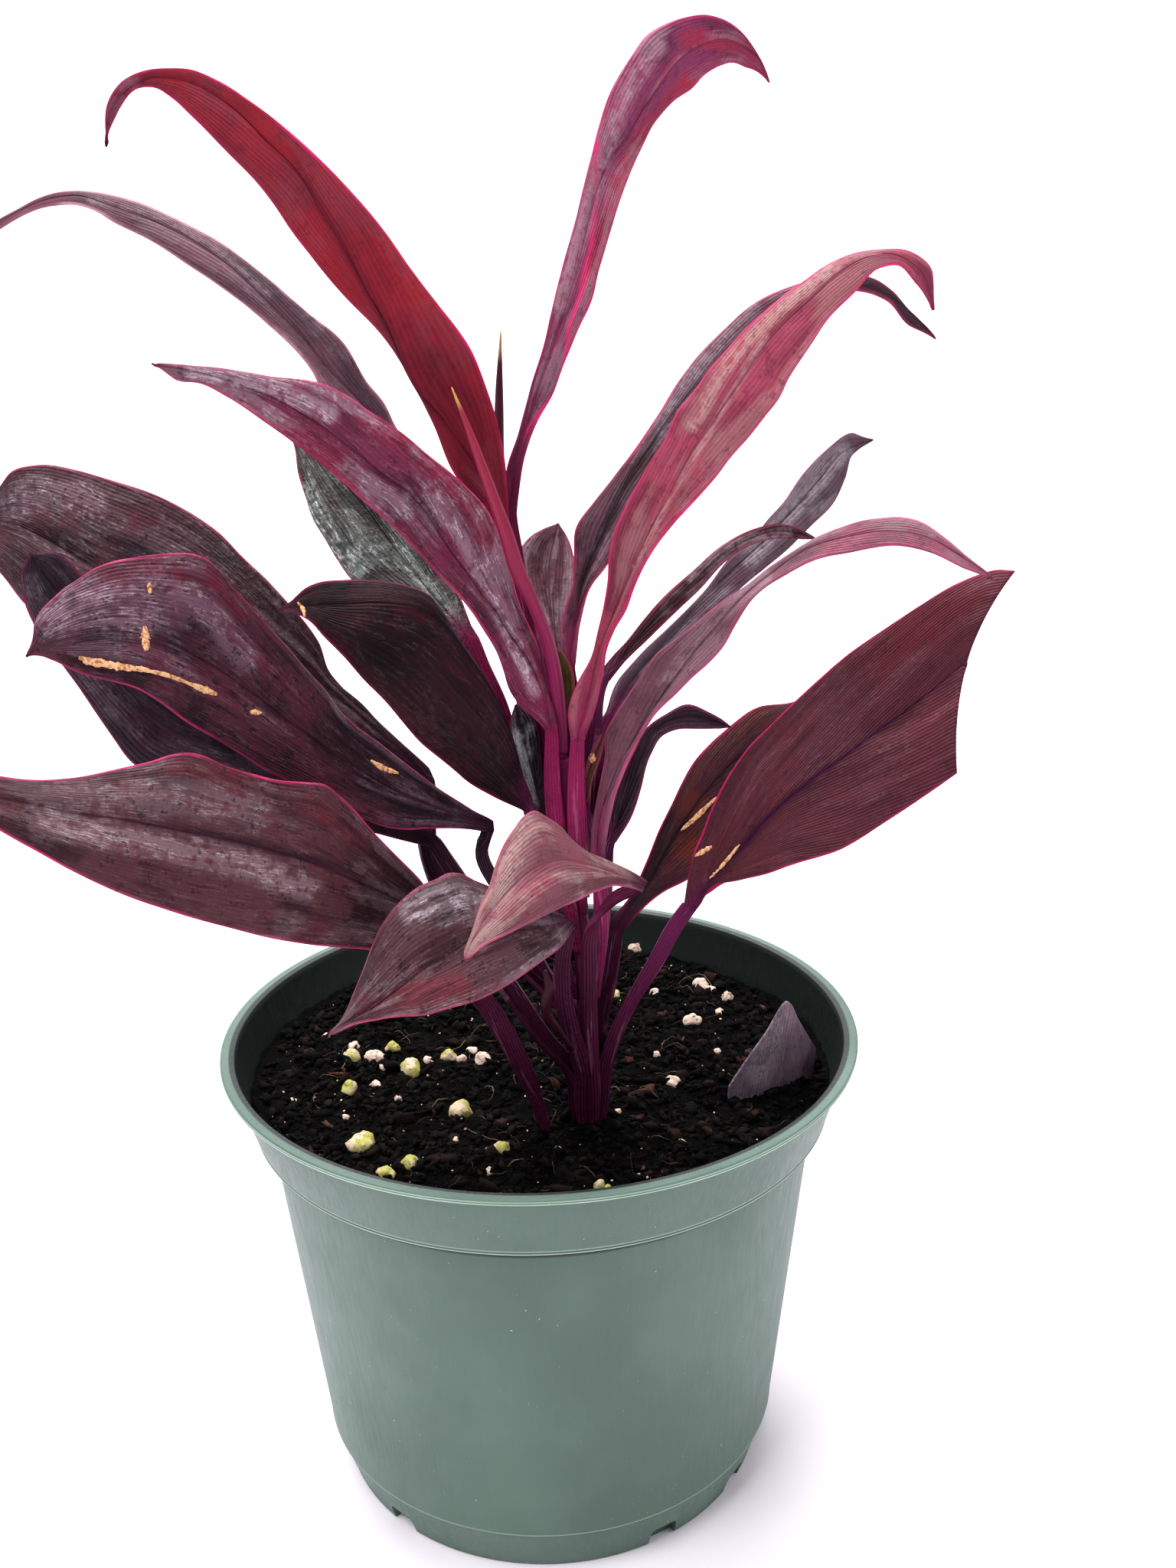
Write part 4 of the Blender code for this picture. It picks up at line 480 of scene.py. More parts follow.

# Looks. Paint holds sRGB hex colours in the order of PAINTS, and skin the shares of painted sheen streaks and
# mottling and the roughness. Strokes are (kind, half width, strength, points) in the view, for marks in one
# place: pale for painted sheen, deep for dark blotches and painted shade, warm for reddish tone and in some
# blades painted glow of light shining through, scar for tan scars.
PAINTS = ("base", "deep", "warm", "pale", "rib", "margin", "stalk")
SKIN = ("streak", "mottle", "gloss")
LOOKS = {
    "leaf_tall_red": dict(
        lines=TALL_RED, relief=0.04, veins=0.12, stalk_width=4.0, slot="red_leaf",
        paint="7c1a2c 46081a 8c1a1e 8a5a6c 5a0a24 c81c64 7a1040", skin=(0.12, 0.4, 0.42),
        strokes=[("deep", 40, 0.8, [(655, 700), (610, 560), (560, 480)]),
                 ("deep", 9, 0.7, [(400, 240), (450, 322), (506, 425), (540, 500)]),
                 # The red paint and the warm stroke are partly the blade's own red and partly painted glow of
                 # light shining through it; the pale stroke on the curled tip is painted sheen
                 ("warm", 16, 0.5, [(300, 120), (400, 215), (500, 330), (600, 480)]),
                 ("pale", 16, 0.9, [(170, 105), (150, 138), (139, 191)])]),
    "leaf_long_arching": dict(
        lines=LONG_ARCHING, veins=0.12, slot="mauve_leaf",
        paint="64404c 30202a 6e3848 8c747c 3c2630 c890a0 6a2040", skin=(0.3, 0.5, 0.45),
        strokes=[("deep", 14, 0.9, [(300, 335), (400, 415), (500, 540)]),
                 ("pale", 7, 0.6, [(120, 262), (200, 282), (280, 325), (350, 385)]),
                 ("warm", 10, 0.6, [(0, 292), (40, 270), (90, 256)])]),
    "leaf_long_glossy": dict(
        lines=LONG_GLOSSY, veins=0.1, relief=1.0, stalk_width=4.2, slot="glossy_leaf",
        paint="74304a 2e101c 8c2042 a88e9c 3a1420 b8406c 7e1448", skin=(0.42, 0.6, 0.3),
        strokes=[("pale", 14, 0.9, [(250, 487), (350, 505), (430, 540)]),
                 ("pale", 12, 0.9, [(640, 780), (670, 840), (700, 900)]),
                 ("pale", 10, 0.7, [(560, 640), (600, 700), (630, 760)]),
                 ("warm", 16, 0.8, [(480, 545), (560, 600), (620, 665), (650, 730)]),
                 ("warm", 10, 0.6, [(300, 510), (400, 580), (500, 665)])]),
    "leaf_grey_glossy": dict(
        lines=GREY_GLOSSY, veins=0.05, relief=1.00, slot="grey_leaf",
        paint="34302e 120c0c 4a2c34 7c8480 2a1c20 a04060 801648", skin=(0.3, 0.9, 0.26),
        strokes=[("deep", 26, 0.9, [(450, 640), (500, 690), (540, 730)]),
                 ("pale", 14, 0.9, [(402, 640), (430, 700), (470, 745)]),
                 ("pale", 12, 0.8, [(520, 720), (560, 770), (590, 800)])]),
    "leaf_dark_curled": dict(
        lines=DARK_CURLED, veins=0.1, slot="dark_leaf",
        paint="2c0e18 0a0305 481220 30202a 14080e 8a2450 5a1240", skin=(0.1, 0.8, 0.33),
        strokes=[("scar", 2.2, 1.0, [(389, 787), (396, 796), (398, 806)]),
                 ("warm", 14, 0.5, [(430, 830), (500, 905), (570, 975), (620, 1015)])]),
    "leaf_far_left": dict(
        lines=FAR_LEFT, veins=0.08, relief=0.6, stalk_width=6.4, slot="speckled_leaf",
        paint="4a2a32 170910 5c1e2c 765f68 2a121c a83c60 1c0a16", skin=(0.35, 0.9, 0.3),
        strokes=[("pale", 28, 0.7, [(20, 660), (60, 640), (120, 660)]),
                 ("deep", 40, 0.8, [(300, 730), (380, 810), (420, 890), (520, 980)]),
                 ("warm", 16, 0.5, [(100, 650), (200, 690), (300, 760)])]),
    "leaf_scarred": dict(
        lines=SCARRED, veins=0.08, relief=0.5, stalk_width=3.4, slot="scarred_leaf",
        paint="4c2432 160810 681a30 826474 32141e b8386c 160810", skin=(0.3, 0.9, 0.33),
        strokes=[("pale", 40, 0.8, [(70, 800), (120, 790), (180, 800)]),
                 ("pale", 22, 0.6, [(200, 760), (260, 790), (320, 860)]),
                 ("warm", 26, 0.7, [(150, 760), (240, 750), (300, 800)]),
                 # The pale strokes are painted sheen, and the deep stroke over the narrowing foot is painted
                 # shade
                 ("deep", 40, 0.9, [(430, 960), (520, 1030), (620, 1070)]),
                 ("scar", 5.5, 1.0, [(103, 858), (122, 863), (140, 867)]),
                 ("scar", 3.6, 1.0, [(122, 864), (158, 871), (195, 875)]),
                 ("scar", 2.2, 1.0, [(175, 873), (215, 881), (262, 899)]),
                 ("scar", 3.6, 1.0, [(248, 893), (283, 907)]), ("scar", 4.4, 1.0, [(189, 818), (191, 850)]),
                 ("scar", 2.5, 0.9, [(195, 762), (196, 775)]), ("scar", 3, 0.9, [(326, 930), (341, 931)]),
                 ("scar", 3, 0.9, [(484, 993), (500, 1003), (520, 1010)])]),
    "leaf_folded": dict(
        lines=FOLDED, veins=0.1, stalk_width=6.0, slot="slate_leaf",
        paint="34222e 120910 4c1c32 5e505a 20141c 903858 160810", skin=(0.3, 0.6, 0.36),
        strokes=[("pale", 14, 0.6, [(40, 760), (90, 850), (150, 930)])]),
    "leaf_low_left": dict(
        lines=LOW_LEFT, veins=0.06, relief=0.5, stalk_width=8.4, slot="plum_leaf",
        paint="563238 261018 682430 887076 341430 cc3c78 481432", skin=(0.35, 0.8, 0.33),
        strokes=[("pale", 22, 0.9, [(60, 1076), (150, 1092), (250, 1112), (340, 1137), (400, 1160)]),
                 ("pale", 30, 0.6, [(60, 1045), (160, 1040), (260, 1045), (330, 1060)]),
                 ("deep", 7, 1.0, [(240, 1083), (320, 1098), (400, 1118), (470, 1140), (545, 1168)]),
                 ("warm", 16, 0.6, [(220, 1000), (300, 1020), (400, 1050), (470, 1100)]),
                 ("deep", 30, 0.7, [(470, 1120), (520, 1170), (560, 1220)])]),
    "leaf_low_front": dict(
        lines=LOW_FRONT, veins=0.08, relief=0.8, stalk_width=5.2, slot="silvered_leaf",
        paint="5a3c42 241018 782a38 94848a 4a2834 b84870 481636", skin=(0.5, 0.8, 0.33),
        strokes=[("pale", 20, 1.0, [(540, 1190), (590, 1170), (630, 1180)]),
                 ("warm", 22, 0.7, [(450, 1320), (520, 1305), (600, 1290)]),
                 ("deep", 12, 0.6, [(560, 1262), (606, 1236), (700, 1215)])]),
    "leaf_front_rosy": dict(
        lines=FRONT_ROSY, veins=0.06, stalk_width=4.2, slot="rosy_leaf",
        paint="7e4e58 542632 943448 a8968e 8a4c5c b85c7c 4c1430", skin=(0.5, 0.6, 0.42),
        strokes=[("deep", 20, 0.6, [(612, 1240), (690, 1203), (790, 1160), (840, 1156)]),
                 ("pale", 18, 0.5, [(690, 1080), (670, 1130), (650, 1180)])]),
    "leaf_big_cut": dict(
        lines=BIG_CUT, rib_width=1.3, slant=0.2, veins=0.5, stalk_width=5.2, slot="veined_leaf",
        paint="582a34 2c0e1a 6c242e 8a5a64 3c0c34 c4246a 64164a", skin=(0.2, 0.4, 0.45),
        strokes=[("warm", 40, 0.8, [(1150, 850), (1250, 790), (1300, 760)]),
                 ("deep", 10, 0.7, [(920, 1165), (1000, 1072), (1100, 991), (1200, 916)]),
                 ("scar", 3, 1.0, [(908, 1118), (930, 1105)]),
                 ("scar", 2.6, 1.0, [(927, 1147), (945, 1128), (966, 1103)])]),
    "leaf_behind_cut": dict(
        lines=BEHIND_CUT, rib_width=0.9, slant=0.15, veins=0.35, stalk_width=4.6, slot="veined_leaf",
        paint="4a222c 1c0a12 70301c 6c4c54 22101a c4246c 4a1438", skin=(0.12, 0.5, 0.42),
        strokes=[("deep", 16, 0.9, [(870, 1070), (850, 1130), (810, 1195)]),
                 ("warm", 20, 0.9, [(905, 1050), (915, 1090), (895, 1110)]),
                 ("scar", 3, 0.9, [(889, 1085), (904, 1072), (936, 1041)])]),
    "leaf_upper_right": dict(
        lines=UPPER_RIGHT, veins=0.12, stalk_width=4.2, slot="rosy_leaf",
        paint="984458 64243a b04260 b8948e 6e2440 c83070 84184c", skin=(0.3, 0.6, 0.35),
        strokes=[("pale", 11, 0.8, [(1090, 350), (1020, 405), (960, 465), (905, 555)]),
                 ("pale", 6, 0.7, [(1000, 440), (930, 560), (870, 660), (830, 740)]),
                 ("deep", 7, 0.5, [(1040, 395), (990, 455), (950, 520)]),
                 ("deep", 12, 0.8, [(1205, 345), (1216, 380), (1219, 405)]),
                 ("deep", 14, 0.7, [(850, 640), (815, 720), (800, 790)])]),
    "leaf_dusky": dict(
        lines=DUSKY, veins=0.12, slot="dusky_leaf",
        paint="583844 1c0c14 74344a 8c7882 1c0a12 c03068 7a1648", skin=(0.4, 0.6, 0.36),
        strokes=[("deep", 9, 1.0, [(850, 587), (822, 628), (794, 684), (766, 747), (755, 810)]),
                 ("deep", 14, 0.7, [(1120, 372), (1170, 395), (1215, 438)]),
                 ("pale", 14, 0.7, [(980, 400), (920, 470), (860, 560)]),
                 ("warm", 8, 1.0, [(738, 860), (734, 810)])]),
    "leaf_tall_centre": dict(
        lines=TALL_CENTRE, veins=0.12, slot="rose_leaf",
        paint="80365a 3c0c28 a0283e a4808e 6a1838 c82468 6a1840", skin=(0.4, 0.5, 0.36),
        strokes=[("pale", 12, 0.8, [(860, 60), (820, 120), (790, 200), (760, 300), (730, 400)]),
                 # The first warm stroke, on the half behind the fold, is partly the blade's own red and partly
                 # painted glow of light shining through it
                 ("warm", 16, 0.9, [(900, 110), (840, 180), (800, 270), (770, 370)]),
                 ("warm", 16, 0.7, [(900, 50), (960, 60), (1000, 100)]),
                 ("deep", 14, 0.8, [(665, 650), (690, 560), (720, 480)]),
                 ("margin", 3, 1.0, [(780, 184), (777, 219), (777, 259), (775, 290), (768, 340), (760, 376),
                                     (751, 405), (744, 425), (741, 456), (730, 500), (700, 547), (684, 572)])]),
    "leaf_short_centre": dict(
        lines=SHORT_CENTRE, relief=0.8, slot="dusky_leaf",
        paint="764e5a 442832 874854 b49ca4 5a3040 b84870 6a1840", skin=(0.6, 0.8, 0.36)),
    "leaf_narrow_dark": dict(
        lines=NARROW_DARK, veins=0.1, slot="dark_leaf",
        paint="38121e 16080e 491c2a 90787f 1c0a12 8a3450 4a1238", skin=(0.4, 0.5, 0.38),
        strokes=[("pale", 8, 0.8, [(900, 755), (960, 712), (1030, 693)])]),
    "leaf_hooked_right": dict(
        lines=HOOKED_RIGHT, veins=0.1, slot="dusky_leaf",
        paint="58444e 261a24 643a48 a0949c 3a2430 8a5068 5a1440", skin=(0.4, 0.5, 0.38),
        strokes=[("pale", 14, 0.7, [(1100, 590), (1050, 650), (980, 730)]),
                 ("deep", 10, 0.7, [(900, 800), (850, 860), (810, 910)])]),
    "leaf_arching_rosy": dict(
        lines=ARCHING_ROSY, veins=0.1, stalk_width=4.2, slot="rose_grey_leaf",
        paint="78505c 402830 94445a 9c828a 4e1c3c b05078 8a1a54", skin=(0.4, 0.5, 0.36),
        strokes=[("warm", 16, 0.6, [(1080, 715), (1180, 695), (1280, 745)]),
                 ("pale", 12, 0.7, [(1000, 755), (930, 815), (870, 890)])]),
    "leaf_behind_right": dict(
        lines=BEHIND_RIGHT, slot="dark_leaf",
        paint="382030 180c14 57263a 6e6068 24121c 8a3a5a 5a2048", skin=(0.16, 0.5, 0.38)),
    "leaf_torn_strip": dict(
        lines=STRIP, slot="dusky_leaf",
        paint="5c3c30 3c1f26 642634 b08c60 4a2030 a04860 5a1440", skin=(0.3, 0.8, 0.42),
        strokes=[("scar", 4, 0.8, [(774, 984), (773, 996)])]),
    "leaf_short_glossy": dict(
        lines=SHORT_GLOSSY, relief=1.0, slot="slate_leaf",
        paint="2c1e26 100a0e 492334 b8bcbc 1a0e16 6a2a48 2e1024", skin=(0.5, 0.7, 0.26),
        strokes=[("pale", 9, 1.0, [(678, 962), (684, 985)])]),
    "leaf_olive": dict(
        lines=OLIVE, slot="olive_leaf",
        paint="544824 302315 642f2a 8c845c 4a2c24 8a4448 5a1c3c", skin=(0.2, 0.7, 0.42)),
}

# Perlite grains seen on the mix: (x, y, width) in the view, then 1 for a green-tinged grain
PERLITE = [
    (461, 1361, 20, 0), (459, 1376, 26, 1), (489, 1378, 26, 0), (514, 1372, 20, 1), (537, 1394, 34, 1),
    (559, 1383, 16, 0), (587, 1380, 22, 1), (603, 1383, 14, 0), (616, 1367, 16, 0), (630, 1381, 22, 0),
    (500, 1392, 12, 0), (456, 1422, 24, 1), (425, 1347, 12, 0), (491, 1412, 14, 0), (520, 1436, 10, 0),
    (603, 1450, 34, 1), (801, 1300, 24, 1), (831, 1236, 28, 0), (856, 1293, 18, 0), (915, 1283, 24, 0),
    (927, 1288, 16, 0), (950, 1296, 22, 0), (904, 1331, 30, 0), (940, 1316, 14, 0), (880, 1413, 22, 0),
    (858, 1372, 12, 0), (937, 1367, 12, 0), (805, 1455, 12, 0), (473, 1495, 34, 1), (535, 1521, 26, 1),
    (503, 1528, 20, 1), (640, 1521, 14, 0), (451, 1456, 10, 0), (594, 1489, 10, 0), (381, 1430, 12, 0)]


def sight_axes():
    """Right, up and forward axes of the eye, as unit vectors."""
    turn, down, roll = np.radians([EYE_TURN, EYE_DOWN, EYE_ROLL])
    forward = np.array([np.sin(turn) * np.cos(down), np.cos(turn) * np.cos(down), -np.sin(down)])
    level = np.array([np.cos(turn), -np.sin(turn), 0.0])
    upright = np.cross(level, forward)
    right = np.cos(roll) * level + np.sin(roll) * upright
    up = -np.sin(roll) * level + np.cos(roll) * upright
    return right, up, forward


def sight_ray(x, y):
    """Direction of the sight line through (x, y): forward plus its shares of right and up."""
    right, up, forward = sight_axes()
    across = ((np.asarray(x, float) - VIEW_MIDDLE[0]) / EYE_REACH)[..., None]
    above = ((VIEW_MIDDLE[1] - np.asarray(y, float)) / EYE_REACH)[..., None]
    return forward + across * right + above * up


def on_sight(x, y, depth):
    """World points in mm where the sight lines through (x, y) reach the given depth."""
    ray = sight_ray(x, y)
    return EYE + ray * ((depth - EYE[1]) / ray[..., 1])[..., None]


def on_level(x, y, height):
    """World points in mm where the sight lines through (x, y) reach the given height."""
    ray = sight_ray(x, y)
    return EYE + ray * ((height - EYE[2]) / ray[..., 2])[..., None]


def in_view(points):
    """The (x, y) of world points in the view: their shares of right and up over forward."""
    right, up, forward = sight_axes()
    away = points - EYE
    far = away @ forward
    return VIEW_MIDDLE[0] + EYE_REACH * (away @ right) / far, VIEW_MIDDLE[1] - EYE_REACH * (away @ up) / far


def unit(vectors):
    """Vectors scaled to length one."""
    return vectors / np.maximum(np.linalg.norm(vectors, axis=-1, keepdims=True), 1e-9)


def curve_through(points, steps):
    """A smooth curve through the points at even steps along it, as cubic pieces with matched slopes."""
    points = np.asarray(points, float)
    run = np.r_[0.0, np.cumsum(np.linalg.norm(np.diff(points[:, :2], axis=0), axis=1) + 1e-6)]
    slope = np.gradient(points, run, axis=0)
    place = np.linspace(0.0, run[-1], steps)
    index = np.clip(np.searchsorted(run, place, side="right") - 1, 0, len(run) - 2)
    length = (run[index + 1] - run[index])[:, None]
    part = (place[:, None] - run[index][:, None]) / length
    a, b = points[index], points[index + 1]
    start = (1 + 2 * part) * (1 - part) ** 2 * a + part * (1 - part) ** 2 * length * slope[index]
    end = part ** 2 * (3 - 2 * part) * b + part ** 2 * (part - 1) * length * slope[index + 1]
    return start + end


def smooth_steps(values, edge_low, edge_high):
    """A soft step from 0 to 1 between two edges: 3t^2 - 2t^3."""
    part = np.clip((values - edge_low) / (edge_high - edge_low), 0, 1)
    return part * part * (3 - 2 * part)


def lumps(x, y, cell, seed):
    """Smooth random height between -1 and 1: random values on a square lattice, blended between corners."""
    table = np.random.default_rng(seed).uniform(-1, 1, (64, 64))
    gx, gy = x / cell, y / cell
    ix, iy = np.floor(gx).astype(int), np.floor(gy).astype(int)
    fx, fy = gx - ix, gy - iy
    fx, fy = fx * fx * (3 - 2 * fx), fy * fy * (3 - 2 * fy)
    pick = lambda i, j: table[i % 64, j % 64]
    low = pick(ix, iy) * (1 - fx) + pick(ix + 1, iy) * fx
    high = pick(ix, iy + 1) * (1 - fx) + pick(ix + 1, iy + 1) * fx
    return low * (1 - fy) + high * fy


def stroke_mask(x, y, points, half_width):
    """How near the view places lie to a line through the points: 1 on it, falling softly to 0 at its side."""
    line = curve_through(points, 24) if len(points) > 2 else np.asarray(points, float)
    nearest = np.full(x.shape, 1e9)
    for a, b in zip(line[:-1], line[1:]):
        along = b - a
        part = np.clip(((x - a[0]) * along[0] + (y - a[1]) * along[1]) / max(along @ along, 1e-6), 0, 1)
        nearest = np.minimum(nearest, np.hypot(x - a[0] - part * along[0], y - a[1] - part * along[1]))
    return 1 - smooth_steps(nearest, half_width * 0.35, half_width * 1.25)


def linear(code):
    """Linear colour from an sRGB hex code."""
    values = [int(code[i:i + 2], 16) / 255 for i in (0, 2, 4)]
    return [v / 12.92 if v <= 0.04045 else ((v + 0.055) / 1.055) ** 2.4 for v in values] + [1.0]


def run_along(points):
    """Distance along a line of points, at each of them."""
    return np.r_[0.0, np.cumsum(np.linalg.norm(np.diff(points, axis=0), axis=1))]


def turns(sides):
    """Even angles once round."""
    return 2 * np.pi * np.arange(sides) / sides


def plain_object(name, points, faces):
    """An object from points in metres and faces, linked to the scene."""
    mesh = bpy.data.meshes.new(name)
    mesh.from_pydata(np.asarray(points).tolist(), [], faces)
    item = bpy.data.objects.new(name, mesh)
    bpy.context.scene.collection.objects.link(item)
    return item


def mesh_piece(name, points, quads, material, node=None, grain=None, fields=None):
    """A piece from points in mm and faces, with its grain map and point fields, riding on the root body."""
    mesh = bpy.data.meshes.new(name)
    points = np.asarray(points, float).reshape(-1, 3) * MM
    quads = np.asarray(quads)
    mesh.vertices.add(len(points))
    mesh.vertices.foreach_set("co", points.ravel())
    mesh.loops.add(quads.size)
    mesh.loops.foreach_set("vertex_index", quads.ravel().astype(np.int32))
    mesh.polygons.add(len(quads))
    mesh.polygons.foreach_set("loop_start", (np.arange(len(quads)) * quads.shape[1]).astype(np.int32))
    mesh.update(calc_edges=True)
    mesh.polygons.foreach_set("use_smooth", np.ones(len(quads), bool))
    if grain is not None:
        layer = mesh.uv_layers.new(name="Grain")
        layer.data.foreach_set("uv", grain.reshape(-1, 2)[quads.ravel()].ravel())
    for key, values in (fields or {}).items():
        layer = mesh.attributes.new(key, "FLOAT", "POINT")
        layer.data.foreach_set("value", np.asarray(values, float).ravel())
    mesh.validate()
    mesh.materials.append(material)
    piece = bpy.data.objects.new(name, mesh)
    bpy.context.scene.collection.objects.link(piece)
    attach(piece, "root")
    if node:
        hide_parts(node)
    return piece


def grid_quads(rows, columns, closed=False):
    """Corner numbers of the faces of a rows by columns grid, closed round its columns or not."""
    across = np.arange(columns if closed else columns - 1)
    low = (np.arange(rows - 1)[:, None] * columns)
    a, b = low + across, low + (across + 1) % columns
    return np.stack([a, b, b + columns, a + columns], axis=-1).reshape(-1, 4)


# Kinds of node: Blender's type, its fixed settings, the settings that are given first, the inputs that are
# given next, and the output that is used, or None for all. Any other kind is the name of a Math operation.
NODES = {
    "Mix": ({"data_type": "RGBA", "clamp_factor": True}, (), (0, 6, 7), 2),
    "MapRange": ({"interpolation_type": "SMOOTHSTEP"}, (), (0, 1, 2, 3, 4), 0),
    "TexNoise": ({}, (), ("Vector", "Scale", "Detail", "Roughness"), 0),
    "Mapping": ({}, (), ("Vector", "Scale"), 0),
    "Bump": ({}, (), ("Height", "Strength", "Distance"), 0),
    "Attribute": ({}, ("attribute_name",), (), "Fac"),
    "UVMap": ({}, ("uv_map",), (), 0),
    "TexCoord": ({}, (), (), "Object"),
    "CombineXYZ": ({}, (), (0, 1, 2), 0),
    "SeparateXYZ": ({}, (), (0,), None),
    "Math": ({}, ("operation",), (0, 1, 2), 0),
}


def fill(tree, socket, value):
    """Links an input to a socket, or sets it to a number, a linear colour or an sRGB hex code."""
    if isinstance(value, bpy.types.NodeSocket):
        tree.links.new(value, socket)
    else:
        socket.default_value = linear(value) if isinstance(value, str) else value


def add_node(tree, kind, *given):
    """Adds a node, gives it its settings and inputs in the order that NODES names, and returns its output."""
    if kind not in NODES:
        kind, given = "Math", (kind, *given)
    fixed, settings, inputs, output = NODES[kind]
    node = tree.nodes.new("ShaderNode" + kind)
    for key, value in (*fixed.items(), *zip(settings, given)):
        setattr(node, key, value)
    for key, value in zip(inputs, given[len(settings):]):
        fill(tree, node.inputs[key], value)
    return node.outputs if output is None else node.outputs[output]


def new_material(name):
    """A material with a Principled surface, and add_node for its tree."""
    material = bpy.data.materials.new(name)
    material.use_nodes = True
    return material, partial(add_node, material.node_tree)


def finish(material, inputs):
    """Sets or links the inputs of a material's Principled surface."""
    tree = material.node_tree
    for key, value in inputs.items():
        fill(tree, tree.nodes["Principled BSDF"].inputs[key], value)
    return material


def layered(add, colour, *layers):
    """Colours laid over one another, each by its share."""
    for share, paint in layers:
        colour = add("Mix", share, colour, paint)
    return colour


def per_metre(size):
    """Noise cells to the metre for a pattern whose parts measure the given mm."""
    return 1 / (size * MM)


def waves(spacing):
    """Turns of a sine over the grain map for lines that stand the given mm apart."""
    return 2 * math.pi * GRAIN_UNIT / spacing


def whole_look(look):
    """A look with its paint and skin unpacked, and plain values for what it leaves out."""
    return {**PLAIN_LOOK, **look, **dict(zip(PAINTS, look["paint"].split())), **dict(zip(SKIN, look["skin"]))}


